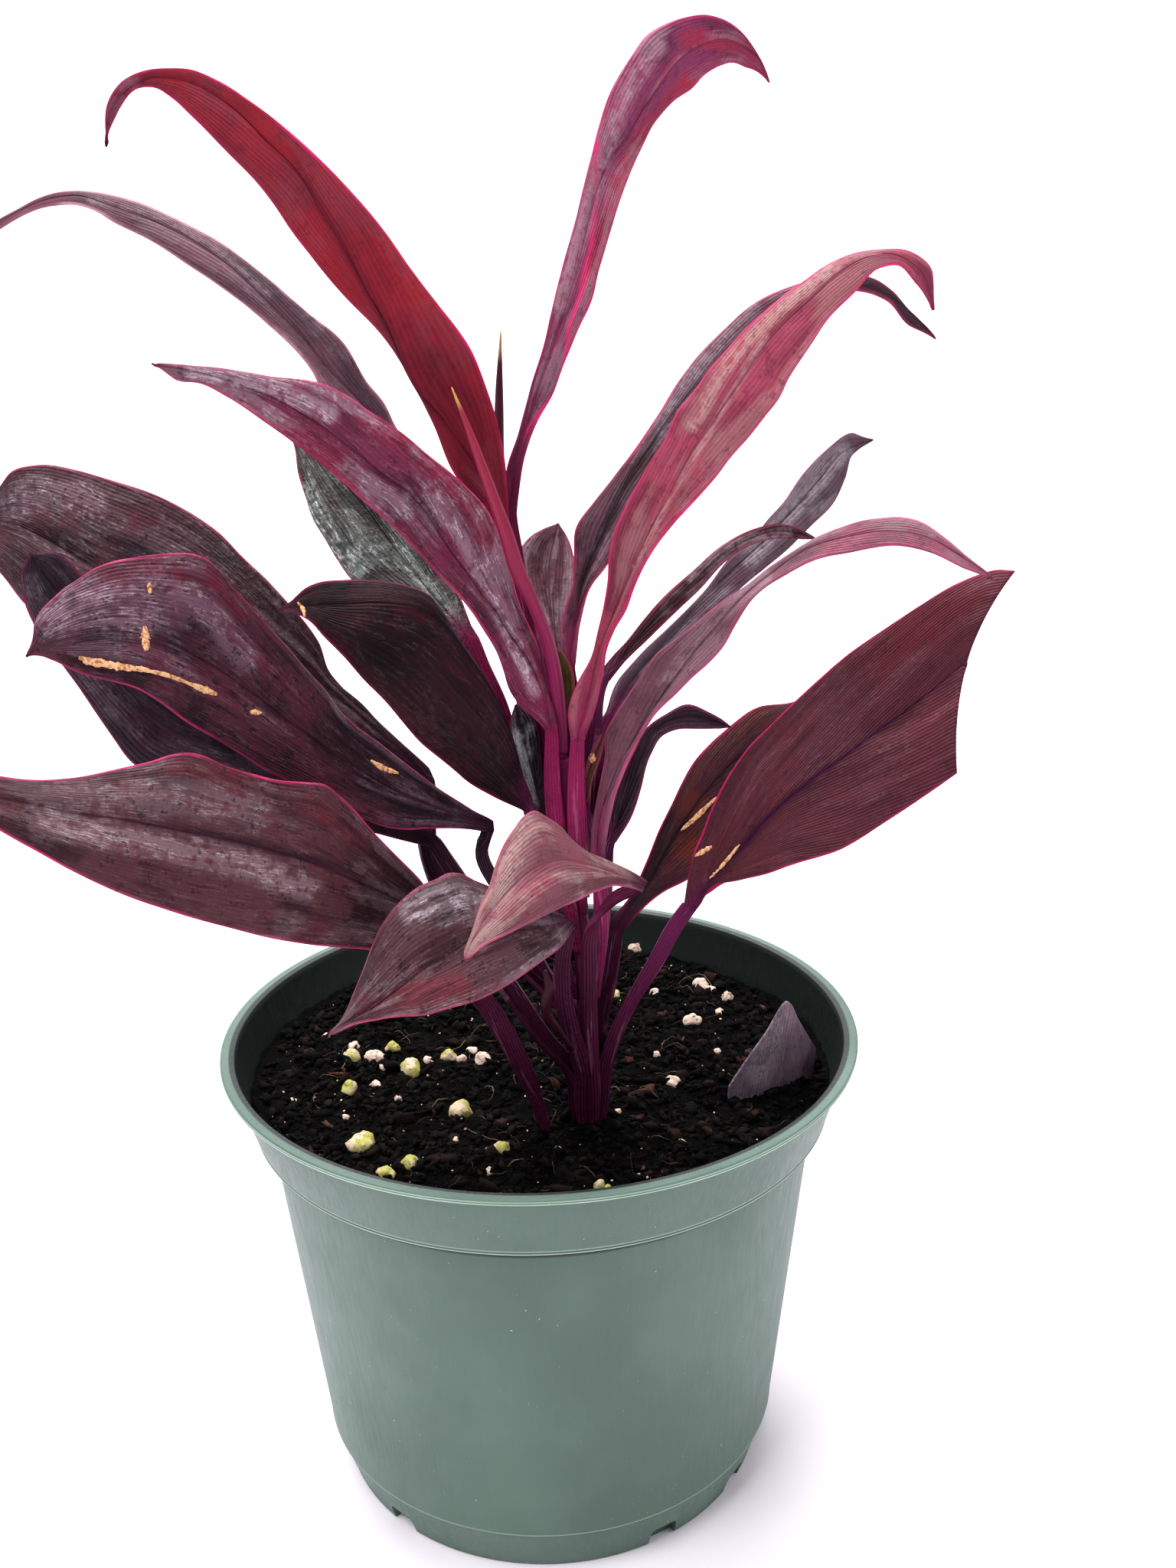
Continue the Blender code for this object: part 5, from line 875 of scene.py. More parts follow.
def leaf_skin(name, look):
    """Living ti leaf: waxy skin over fine veins, with painted silver sheen and glints, dark blotches and a
    bright margin.

    The grain map holds u across and v along the blade, in mm over 50; u is constant from foot to tip.
    A vein is a line of equal |u| - slant v, so veins leave the midrib at a small angle. Painted glints that
    stand for crinkles catching the light are the thin lines where a noise drawn out along the veins crosses its
    middle.
    """
    material, add = new_material(name)
    relief, mottle, veins = look["relief"], look["mottle"], look["veins"]
    place = add("TexCoord")
    across, along, _ = add("SeparateXYZ", add("UVMap", "Grain"))
    warm, deep, pale, margin, rib, stalk = (add("Attribute", key) for key in FIELDS)

    # Veins, the streaks that run along them, and the blotches, quilting and grit that don't
    slant = add("MULTIPLY", add("SUBTRACT", 1.0, stalk), look["slant"])
    slanted = add("SUBTRACT", add("ABSOLUTE", across), add("MULTIPLY", along, slant))
    wander = add("TexNoise", place, per_metre(VEIN_WANDER), 3.0, 0.55)
    phase = add("MULTIPLY_ADD", wander, 6.0, add("MULTIPLY", slanted, waves(VEIN_SPACING)))
    vein = add("MULTIPLY_ADD", add("SINE", phase), 0.5, 0.5)
    half = add("MULTIPLY", add("SIGN", across), 3.0)
    drawn = add("CombineXYZ", add("MULTIPLY", slanted, GRAIN_UNIT / STREAK_WIDTH),
                add("MULTIPLY", along, GRAIN_UNIT / STREAK_LENGTH), half)
    streaks = add("TexNoise", drawn, 1.0, 7.0, 0.66)
    broad = add("TexNoise", drawn, STREAK_WIDTH / BROAD_STREAK_WIDTH, 4.0, 0.6)
    patches = add("TexNoise", place, per_metre(BLOTCH_SIZE), 5.0, 0.62)
    quilt = add("TexNoise", place, per_metre(QUILT_SIZE), 5.0, 0.62)
    grit = add("TexNoise", place, per_metre(LEAF_GRIT), 3.0, 0.6)

    # Reddish and dark stretches, painted sheen of the pale field, and painted glints along thin crinkled lines,
    # strongest where the painted sheen lies
    reddish = add("MAXIMUM", warm, add("MULTIPLY", add("MapRange", broad, 0.5, 0.62), 0.45))
    dark = add("MULTIPLY", add("MapRange", streaks, 0.5, 0.64), 0.6 * mottle)
    dark = add("MAXIMUM", dark, add("MULTIPLY", deep, add("MapRange", streaks, 0.3, 0.6, 1.0, 0.6)))
    sheen = add("MULTIPLY", add("MapRange", add("ADD", broad, patches), 0.96, 1.16), look["streak"])
    # The pale field is drawn here as painted wet sheen
    wet = add("MULTIPLY", pale, add("MapRange", add("ADD", streaks, quilt), 0.78, 1.08, 0.1, 0.9))
    painted_gleam = add("MAXIMUM", sheen, wet)
    speckle = add("MULTIPLY", add("MapRange", quilt, 0.52, 0.62), add("MapRange", grit, 0.42, 0.56))
    middle = add("ABSOLUTE", add("SUBTRACT", streaks, 0.5))
    glint_strength = add("MULTIPLY", add("MULTIPLY_ADD", painted_gleam, 0.8, 0.12), relief)
    painted_glint = add("MULTIPLY", add("MapRange", middle, 0.0, 0.022, 1.0, 0.0), glint_strength)
    painted_glint = add("MULTIPLY", painted_glint, add("MapRange", quilt, 0.42, 0.56))

    # The stalk is bright and striped, and nearly black-purple at its base
    lines = add("SINE", add("MULTIPLY", across, waves(STALK_LINE_SPACING)))
    height = add("SeparateXYZ", place)[2]
    fresh = layered(add, "420f2e", (add("MapRange", height, STALK_DARK, STALK_BRIGHT), look["stalk"]),
                    (add("MapRange", patches, 0.45, 0.7, 0.0, 0.7), "2c0a22"),
                    (add("MapRange", lines, 0.3, 1.0, 0.0, 0.2), "a0507c"),
                    (add("MapRange", streaks, 0.56, 0.62, 0.0, 0.16), "c890a8"))

    # The bright margin breaks up in patches and fades under the painted sheen of the pale field
    rim = add("MULTIPLY", margin, add("MapRange", patches, 0.36, 0.6, 0.25, 0.95))
    rim = add("MULTIPLY", rim, add("SUBTRACT", 1.0, add("MULTIPLY", pale, 0.6)))
    # The pale colour is laid on as painted sheen, and e4dade as painted highlights on the glint lines
    colour = layered(
        add, look["base"], (add("MULTIPLY", add("MapRange", patches, 0.42, 0.6), mottle), look["deep"]),
        (add("MULTIPLY", reddish, add("MapRange", patches, 0.3, 0.6, 1.0, 0.5)), look["warm"]),
        (dark, look["deep"]), (painted_gleam, look["pale"]),
        (add("MULTIPLY", add("MapRange", vein, 0.5, 0.0), veins), look["deep"]),
        (add("MULTIPLY", add("MapRange", vein, 0.75, 1.0), veins * 0.4), look["pale"]),
        (add("MULTIPLY", speckle, 0.85 * mottle), look["deep"]),
        (painted_glint, "e4dade"), (rib, look["rib"]), (stalk, fresh), (rim, look["margin"]))
    rough = add("MULTIPLY_ADD", painted_gleam, -0.14, look["gloss"] + 0.1)
    rough = add("MULTIPLY_ADD", patches, 0.1, rough)
    height = add("MULTIPLY", vein, 0.4)
    for pattern, share in ((streaks, 1.6), (quilt, 4.0 * relief), (grit, 0.35)):
        height = add("MULTIPLY_ADD", pattern, share, height)
    return finish(material, {"Base Color": colour, "Roughness": rough, "IOR": 1.4, "Specular IOR Level": 0.22,
                             "Normal": add("Bump", height, 0.6, 0.0005)})


def stem_points(steps):
    """Points along the stem's middle line, from foot to top."""
    line = curve_through(STEM_LINE, steps)
    return on_sight(line[:, 0], line[:, 1], line[:, 2])


def stem_at(height):
    """The stem's middle and radius at a height in mm."""
    points = stem_points(60)
    middle = np.array([np.interp(height, points[:, 2], points[:, axis]) for axis in range(3)])
    part = (height - points[0, 2]) / (points[-1, 2] - points[0, 2])
    return middle, STEM_RADIUS + (STEM_TOP_RADIUS - STEM_RADIUS) * np.clip(part, 0, 1)


def blade_rows(leaf, steps, spread):
    """Grid of points on a blade: rows run margin, midrib, margin, their halves bowed by 4 b r (1 - r) w."""
    part = np.linspace(0.0, 1.0, steps)
    low, half, high = leaf["depth"]
    depth = low * (1 - part) * (1 - 2 * part) + 4 * half * part * (1 - part) + high * part * (2 * part - 1)
    swell = np.sin(np.pi * np.clip(part, 0, 1)) ** 0.7
    if leaf.get("cut"):
        swell = np.sin(0.5 * np.pi * np.clip(part * 2, 0, 1))
    lines = {side: curve_through(leaf[side], steps) for side in ("left", "mid", "right")}
    mid = on_sight(lines["mid"][:, 0], lines["mid"][:, 1], depth)
    edges = {side: on_sight(lines[side][:, 0], lines[side][:, 1], depth + lift * swell)
             for side, lift in zip(("left", "right"), leaf["lift"])}
    along = unit(np.gradient(mid, axis=0))
    facing = unit(np.cross(unit(edges["right"] - edges["left"]), along))
    facing *= np.sign(np.sum(facing * (EYE - mid), axis=1, keepdims=True))
    reach = np.abs(spread)[None, :, None]
    edge = np.where(spread[None, :, None] < 0, edges["left"][:, None], edges["right"][:, None])
    span = edge - mid[:, None]
    width = np.linalg.norm(span, axis=2, keepdims=True)
    return mid[:, None] + reach * span + leaf["bow"] * 4 * reach * (1 - reach) * width * facing[:, None]


def stalk_rows(leaf, width, blade, spread):
    """Grid of points on a stalk: a channel that clasps the stem at its foot and widens into the blade.

    Its cross section is half the width times s to the side and a rise times s^2, for s from -1 to 1.
    """
    middle = len(spread) // 2
    base = blade[0, middle]
    ahead = blade[min(len(blade) - 1, max(1, len(blade) // 14)), middle]
    base_across = blade[0, -1] - blade[0, 0]
    points = [on_sight(*point) for point in leaf["stalk"]]
    if leaf["foot"]:
        angle, height = leaf["foot"]
        height = height if height > LOW_FOOT else SOIL_TOP - LOW_FOOT_SUNK
        outward = np.array([math.cos(math.radians(angle)), math.sin(math.radians(angle)), 0.0])
        first, radius = stem_at(height)
        second, second_radius = stem_at(height + CLASP_RISE)
        points = [first + outward * (radius + CLASP),
                  second + outward * (second_radius + CLASP + CLASP_FLARE), *points]
    else:
        outward = unit(points[0] - stem_at(SOIL_TOP)[0])
        radius = OPEN_FOOT_RADIUS
    path = np.array(points + [base, ahead])
    run = run_along(path)
    dense = curve_through(np.c_[run, path], 400)
    places = np.linspace(0.0, run[-2], STALK_STEPS + 1)[:-1]
    centre = np.stack([np.interp(places, dense[:, 0], dense[:, 1 + axis]) for axis in range(3)], axis=1)
    along = unit(np.gradient(np.vstack([centre, base]), axis=0))[:-1]
    foot_across = unit(np.cross(along[0], outward))
    foot_across = foot_across * (np.sign(np.dot(foot_across, base_across)) or 1.0)
    part = (places / run[-2])[:, None]
    turned = (1 - part) * foot_across + part * unit(base_across)
    side = unit(turned - along * np.sum(turned * along, axis=1, keepdims=True))
    normal = np.cross(along, side)
    inward = -np.sign(np.dot(normal[0], outward))
    base_normal = unit(np.cross(unit(ahead - base), unit(base_across)))
    hollow = 0.5 * np.dot(blade[0, 0] + blade[0, -1] - 2 * base, base_normal)
    slim = 0.5 + 0.5 * smooth_steps(part, 0.0, 0.45)
    wide = (1 - part) * width * slim + part * np.linalg.norm(base_across)
    ring = radius + GAP + STALK_THICK / 2
    foot_rise = ring - math.sqrt(max(ring ** 2 - (width / 2) ** 2, 0.0))
    rise = (1 - part) * inward * (foot_rise + 0.3 * width * np.sin(np.pi * part)) + part * hollow
    spread = spread[None, :, None]
    return (centre[:, None] + side[:, None] * wide[:, None] * 0.5 * spread
            + normal[:, None] * rise[:, None] * spread ** 2)


def sheet_solid(surface, thick):
    """Both faces of a sheet and the strip round its rim, as points and faces of a closed solid."""
    rows, columns = thick.shape
    along = unit(np.gradient(surface, axis=0))
    across = unit(np.gradient(surface, axis=1))
    normal = unit(np.cross(along, across))
    half = thick[..., None] / 2
    points = np.concatenate([surface + normal * half, surface - normal * half]).reshape(-1, 3)
    count = rows * columns
    face = grid_quads(rows, columns)
    index = np.arange(count).reshape(rows, columns)
    loop = np.concatenate([index[0], index[1:, -1], index[-1, -2::-1], index[-2:0:-1, 0]])
    after = np.roll(loop, -1)
    rim = np.stack([loop, after, after + count, loop + count], axis=-1)
    return points, np.concatenate([face[:, ::-1], face + count, rim])


def outward(points, quads):
    """Faces turned so that the solid's signed volume is positive."""
    a, b, c, d = (points[quads[:, k]] for k in range(4))
    volume = np.sum(np.cross(a, b) * c) + np.sum(np.cross(a, c) * d)
    return quads if volume > 0 else quads[:, ::-1]


def healed_tissue():
    """Healed leaf tissue: dry peach-coloured cork with brown grit."""
    material, add = new_material("healed leaf tissue")
    grit = add("TexNoise", add("TexCoord"), per_metre(CORK_GRIT), 3.0, 0.55)
    colour = add("Mix", add("MapRange", grit, 0.36, 0.56), "a06c44", "deb088")
    return finish(material, {"Base Color": colour, "Roughness": 0.7, "IOR": 1.3,
                             "Normal": add("Bump", grit, 0.5, 0.0003)})


def build_scars(name, look, front, back):
    """Healed scars: thin strips along lines on the side of the blade that faces the eye.

    Half width at share t of a strip is w sin(pi t)^0.4 (1 + 0.16 n), with n a random run.
    """
    lines = [stroke for stroke in look["strokes"] if stroke[0] == "scar"]
    if not lines:
        return
    near = (np.linalg.norm(front - EYE, axis=2) < np.linalg.norm(back - EYE, axis=2))[..., None]
    face = np.where(near, front, back).reshape(-1, 3)
    sides = np.where(near, front - back, back - front).reshape(-1, 3)
    x, y = in_view(face)
    draw = np.random.default_rng(sum(map(ord, name)))
    run = np.linspace(0, 1, SCAR_STEPS)
    columns = np.linspace(-1, 1, 7)
    thick = np.broadcast_to(SCAR_EDGE + SCAR_RISE * (1 - columns ** 2), (SCAR_STEPS, len(columns)))
    parts, faces, count = [], [], 0
    for _, half_width, _, line in lines:
        if len(line) > 2:
            seen = curve_through(line, SCAR_STEPS)
        else:
            seen = np.linspace(*np.array(line, float), SCAR_STEPS)
        gap = np.hypot(x[None] - seen[:, :1], y[None] - seen[:, 1:2])
        nearest = np.argsort(gap, axis=1)[:, :4]
        share = 1 / (np.take_along_axis(gap, nearest, axis=1) + 0.5) ** 2
        share /= share.sum(axis=1, keepdims=True)
        height = unit(np.sum(sides[nearest] * share[..., None], axis=1))
        depth = np.sum(face[nearest][..., 1] * share, axis=1)
        centre = on_sight(seen[:, 0], seen[:, 1], depth) + height * 0.05
        across = unit(np.cross(np.gradient(centre, axis=0), height))
        swell = np.sin(np.pi * np.clip(run, 0.03, 0.97)) ** 0.4 * (1 + 0.16 * draw.normal(size=SCAR_STEPS))
        wide = np.clip(half_width / LEAF_VIEW_SCALE * swell, 0.08, 3)
        strip = centre[:, None] + across[:, None] * columns[None, :, None] * wide[:, None, None]
        points, quads = sheet_solid(strip, thick)
        parts.append(points)
        faces.append(outward(points, quads) + count)
        count += len(points)
    mesh_piece(name + "_scars", np.concatenate(parts), np.concatenate(faces), healed_tissue())


def leaf_grid(look, fineness):
    """The middle surface of a stalk and its blade as one grid, with its columns' spread and its breadth.

    Columns stand at shares 0.35 (1 - cos(pi t)) + 0.3 t of each half. The end of an uncut blade narrows.
    """
    leaf = look["lines"]
    left, mid, right = blade_rows(leaf, 24, np.array([-1.0, 0.0, 1.0])).swapaxes(0, 1)
    breadth = (np.linalg.norm(left - mid, axis=1) + np.linalg.norm(right - mid, axis=1)).max()
    steps = int(np.clip(run_along(mid)[-1] / fineness, 24, 260))
    half = int(np.clip(breadth / fineness / 2, 5, 26))
    way = np.linspace(0, 1, half + 1)
    ramp = 0.35 * (1 - np.cos(np.pi * way)) + 0.3 * way
    spread = np.concatenate([-ramp[:0:-1], ramp])
    blade = blade_rows(leaf, steps, spread)
    stalk = stalk_rows(leaf, look["stalk_width"], blade, spread)
    if not leaf.get("cut"):
        to_tip = np.clip((steps - 1 - np.arange(steps)) / (steps * TIP_SHARE), 0, 1)[:, None, None] ** 0.6
        mid = blade[:, half, None]
        blade = mid + (blade - mid) * (TIP_WIDTH + (1 - TIP_WIDTH) * to_tip)
    return np.vstack([stalk, blade]), spread, breadth


def leaf_fields(look, surface, reach, to_edge, in_blade, ends, margin_width):
    """Point fields of a leaf: the strokes of its look, its margin, its midrib and its stalk."""
    rows = len(surface)
    x, y = in_view(surface)
    fields = {key: np.zeros(reach.shape) for key in FIELDS}
    for kind, half_width, strength, line in look["strokes"]:
        if kind != "scar":
            fields[kind] = np.maximum(fields[kind], strength * stroke_mask(x, y, line, half_width))
    band = (1 - smooth_steps(to_edge, margin_width * 0.4, margin_width * 1.2)) * in_blade * (0.3 + 0.7 * ends)
    fields["margin"] = np.maximum(fields["margin"], band)
    rib_width = look["rib_width"] * np.clip(1.4 - np.arange(rows) / rows, 0.4, 1)[:, None]
    fields["rib"] = (1 - smooth_steps(reach, rib_width * 0.3, rib_width * 1.3)) * in_blade * 0.8
    fields["stalk"] = (1 - in_blade) * np.exp(-(reach / 2.2) ** 2)
    fields["stalk"][:STALK_STEPS] = 1.0
    return fields


def sheet_piece(name, surface, thick, grain, fields, material, node):
    """A sheet as a closed solid, with the same grain map and point fields on both of its faces."""
    points, quads = sheet_solid(surface, thick)
    grain = np.tile(np.stack(grain, axis=-1).reshape(-1, 2) / GRAIN_UNIT, (2, 1))
    fields = {key: np.tile(values.ravel(), 2) for key, values in fields.items()}
    mesh_piece(name, points, outward(points, quads), material, node, grain, fields)


def build_leaf(name, look, fineness, margin_width):
    """One leaf: stalk and blade, with ripples a sin(v / 6) s^2 along its margins and random quilting."""
    look = whole_look(look)
    surface, spread, breadth = leaf_grid(look, fineness)
    rows, columns = surface.shape[:2]
    steps = rows - STALK_STEPS
    from_foot = np.arange(rows)[:, None] - STALK_STEPS
    mid_line = surface[:, columns // 2]
    along = np.broadcast_to(run_along(mid_line)[:, None], (rows, columns))
    reach = np.linalg.norm(surface - mid_line[:, None], axis=2)
    across = np.where(from_foot < 0, reach * np.sign(spread), spread * breadth / 2)
    to_edge = np.where(spread < 0, reach[:, :1], reach[:, -1:]) - reach
    in_blade = np.clip(from_foot / max(steps * 0.12, 1), 0, 1)
    ends = np.clip((steps - 1 - from_foot) / (steps * 0.1), 0, 1)
    normal = unit(np.cross(unit(np.gradient(surface, axis=0)), unit(np.gradient(surface, axis=1))))
    seed = sum(map(ord, name))
    ripple = RIPPLE * np.sin(along / RIPPLE_LENGTH + seed) * spread ** 2 * np.clip(reach / 8.0, 0, 1)
    quilting = (0.2 + 0.3 * look["relief"]) * lumps(across * 0.8 + 40, along * 0.35 + seed, 2.6, seed)
    height = (ripple + quilting * np.clip(reach / 3, 0, 1)) * in_blade * ends
    surface = surface + normal * height[..., None]
    rib = RIB_THICK / 2 * np.exp(-(reach / RIB_REACH) ** 2)
    blade_thick = MARGIN_THICK + 0.2 * np.clip(to_edge / 3.0, 0, 1) + rib
    stalk_thick = STALK_THICK * (0.55 + 0.35 * smooth_steps(from_foot / STALK_STEPS + 1, 0.0, 0.5))
    fade = np.clip(from_foot / (steps * 0.25), 0, 1)
    thick = stalk_thick * (1 - fade) + blade_thick * fade
    half = normal * thick[..., None] / 2
    build_scars(name, look, surface + half, surface - half)
    sheet_piece(name + "_skin", surface, thick, (across, along),
                leaf_fields(look, surface, reach, to_edge, in_blade, ends, margin_width),
                leaf_skin(name.replace("leaf_", "") + " ti leaf", look), name)


def tube_grid(points, radii, sides):
    """A round tube: rings of the given radii square to the line."""
    along = unit(np.gradient(points, axis=0))
    side = unit(np.cross(along, [0.0, 1.0, 0.0]))
    up = np.cross(along, side)
    turn = turns(sides)[None, :, None]
    ring = np.cos(turn) * side[:, None] + np.sin(turn) * up[:, None]
    return points[:, None] + ring * np.asarray(radii)[:, None, None]


def closed_tube(rings):
    """Points and faces of a tube whose ends are drawn in to a fiftieth of their width."""
    first, last = (end[None] * 0.02 + end.mean(axis=0) * 0.98 for end in (rings[0], rings[-1]))
    grid = np.concatenate([first, rings, last])
    return grid.reshape(-1, 3), grid_quads(len(grid), rings.shape[1], closed=True)


def stalk_skin(name, colour, low_colour, stripe, tip):
    """Fresh young ti tissue: waxy and smooth, with fine lengthwise stripes, a darker foot and a paler tip."""
    material, add = new_material(name)
    around, climb, _ = add("SeparateXYZ", add("UVMap", "Grain"))
    stripes = 2 * math.pi * STEM_RADIUS / CANE_STRIPE
    drawn = add("CombineXYZ", add("MULTIPLY", around, stripes), add("MULTIPLY", climb, 2.0))
    lines = add("TexNoise", drawn, 1.0, 4.0, 0.55)
    mixed = layered(add, low_colour, (add("MapRange", climb, 0.0, 1.0), colour),
                    (add("MapRange", climb, 0.94, 0.975), tip),
                    (add("MULTIPLY", add("MapRange", lines, 0.45, 0.7), 0.6), stripe))
    return finish(material, {"Base Color": mixed, "Roughness": 0.38, "IOR": 1.45, "Specular IOR Level": 0.25,
                             "Normal": add("Bump", lines, 0.3, 0.0003)})


def build_tube_piece(name, node, points, radii, material):
    """A tube piece whose grain map holds the share of a turn round it and of the way along it."""
    mesh_points, quads = closed_tube(tube_grid(points, radii, TUBE_SIDES))
    run = run_along(points)
    turn = np.tile(np.linspace(0, 1, TUBE_SIDES, endpoint=False), len(points) + 2)
    climb = np.repeat(np.r_[run[0], run, run[-1]] / run[-1], TUBE_SIDES)
    mesh_piece(name, mesh_points, outward(mesh_points, quads), material, node,
               np.stack([turn, climb], axis=1))


def build_stem():
    """The cane: slim, with faint rings 0.12 |sin|^8 deep where leaves grew."""
    run = np.linspace(0, 1, STEM_STEPS)
    radii = STEM_RADIUS + (STEM_TOP_RADIUS - STEM_RADIUS) * run - 0.12 * np.abs(np.sin(run * 40)) ** 8
    skin = stalk_skin("purple ti cane", "701848", "34102a", "904068", "701848")
    build_tube_piece("cane", "stem", stem_points(STEM_STEPS), radii, skin)


def build_furled():
    """Spear, spike and curled young leaf: tubes along their lines."""
    for name, node, line, slot, colours in FURLED:
        line = curve_through(line, 90)
        points = on_sight(line[:, 0], line[:, 1], line[:, 2])
        material = stalk_skin(name.replace("_", " ") + " tissue", *colours)
        build_tube_piece(name, node, points, np.maximum(line[:, 3], 0.12), material)


def piece_surface(rows, columns):
    """The cut leaf piece as a sheet: a foot line on the mix, raised by its rise and leaning back."""
    line = curve_through(PIECE_FOOT, columns)
    ends = unit(line[-1] - line[0])
    rise = curve_through(np.c_[np.linspace(0, 1, len(PIECE_RISE)), PIECE_RISE], columns)[:, 1]
    part = np.linspace(0, 1, rows)[:, None]
    height = -PIECE_SUNK + part * (rise[None, :] + PIECE_SUNK)
    flat = line[None] + np.array([ends[1], -ends[0]]) * np.clip(height, 0, None)[..., None] * PIECE_SLOPE
    return np.concatenate([flat, (SOIL_TOP + height)[..., None]], axis=2)


def build_leaf_piece():
    """The cut piece of leaf in the mix, with a wave that grows to its top."""
    rows, columns = 40, 44
    surface = piece_surface(rows, columns)
    x, y = in_view(surface)
    normal = unit(np.cross(np.gradient(surface, axis=0), np.gradient(surface, axis=1)))
    wave = 0.25 * np.sin(np.linspace(0, 9, columns)) * np.linspace(0, 1, rows)[:, None]
    fields = {key: np.zeros((rows, columns)) for key in FIELDS}
    # The pale field on the lower part is drawn by the leaf skin as painted sheen
    fields["pale"] = 0.6 * stroke_mask(x, y, [(990, 1400), (1010, 1350), (1020, 1325)], 22)
    fields["deep"] = 0.9 * stroke_mask(x, y, [(1050, 1345), (1052, 1390)], 14)
    across, along = np.meshgrid(np.linspace(2, 26, columns), np.linspace(0, 25, rows))
    sheet_piece("cut_leaf_piece", surface + normal * wave[..., None], np.full((rows, columns), PIECE_THICK),
                (across, along), fields, leaf_skin("wilted ti leaf piece", whole_look(PIECE_LOOK)),
                "leaf_piece")


def pot_profile():
    """The pot's cut half, from the middle of its underside round to the middle of its floor."""
    turn = np.linspace(0, np.pi / 2, 5)
    lip = [(RIM_RADIUS - 0.45 + 0.45 * math.cos(a), RIM_TOP - 0.45 + 0.45 * math.sin(a)) for a in turn]
    return np.array([
        (0.01, 0.0), (GUTTER_INNER, 0.0), (GUTTER_INNER + 0.8, GUTTER_RISE), (GUTTER_OUTER, GUTTER_RISE),
        (GUTTER_OUTER + 0.4, 0.5), (GUTTER_OUTER + 0.7, 0.1), (GUTTER_OUTER + 1.0, 0.0),
        (FOOT_RADIUS - 1.0, 0.0), (FOOT_RADIUS - 0.4, 0.3), (FOOT_RADIUS - 0.1, 0.8), (FOOT_RADIUS, 1.5),
        (WALL_LOW_RADIUS - 0.1, WALL_LOW - 0.7), (WALL_LOW_RADIUS, WALL_LOW - 0.3),
        (WALL_LOW_RADIUS + 0.35, WALL_LOW), (WALL_LOW_RADIUS + 0.3, WALL_LOW + 0.35),
        (WALL_LOW_RADIUS + 0.25, WALL_LOW + 0.8), (WALL_TOP_RADIUS - 0.05, BAND_LOW - 1.2),
        (WALL_TOP_RADIUS + 0.02, BAND_LOW - 0.6), (WALL_TOP_RADIUS + 0.6, BAND_LOW - 0.2),
        (BAND_LOW_RADIUS - 0.5, BAND_LOW - 0.05), (BAND_LOW_RADIUS - 0.1, BAND_LOW + 0.1),
        (BAND_LOW_RADIUS + 0.1, BAND_LOW + 0.35), (BAND_LOW_RADIUS + 0.05, BAND_LOW + 0.6),
        (BAND_LOW_RADIUS - 0.05, BAND_LOW + 0.8), (BAND_LOW_RADIUS + 0.1, BAND_LOW + 1.05),
        (BAND_LOW_RADIUS + 0.2, BAND_LOW + 1.3),
        (BAND_TOP_RADIUS - 0.2, RIM_UNDER - 1.2), (BAND_TOP_RADIUS, RIM_UNDER - 0.6),
        (BAND_TOP_RADIUS + 0.5, RIM_UNDER - 0.25), (RIM_RADIUS - 0.5, RIM_UNDER - 0.02),
        (RIM_RADIUS - 0.1, RIM_UNDER + 0.2), (RIM_RADIUS, RIM_UNDER + 0.45),
        (RIM_RADIUS - 0.12, RIM_UNDER + 0.65), (RIM_RADIUS, RIM_UNDER + 0.85)] + lip + [
        (RIM_RADIUS - 0.9, RIM_TOP), (RIM_INNER + 1.0, RIM_TOP - 0.05), (RIM_INNER + 0.3, RIM_TOP - 0.3),
        (RIM_INNER, RIM_TOP - 0.9),
        (BAND_TOP_RADIUS - WALL - 0.1, RIM_UNDER - 1.0), (BAND_LOW_RADIUS - WALL, SHELF + 0.4),
        (WALL_TOP_RADIUS - WALL, SHELF - 0.3), (WALL_LOW_RADIUS - WALL, WALL_LOW + 0.6),
        (FLOOR_RADIUS, GUTTER_RISE + FLOOR + 0.8),
        (FLOOR_RADIUS - 0.8, GUTTER_RISE + FLOOR), (GUTTER_INNER - 0.6, GUTTER_RISE + FLOOR),
        (GUTTER_INNER - 1.4, FLOOR), (0.01, FLOOR)])


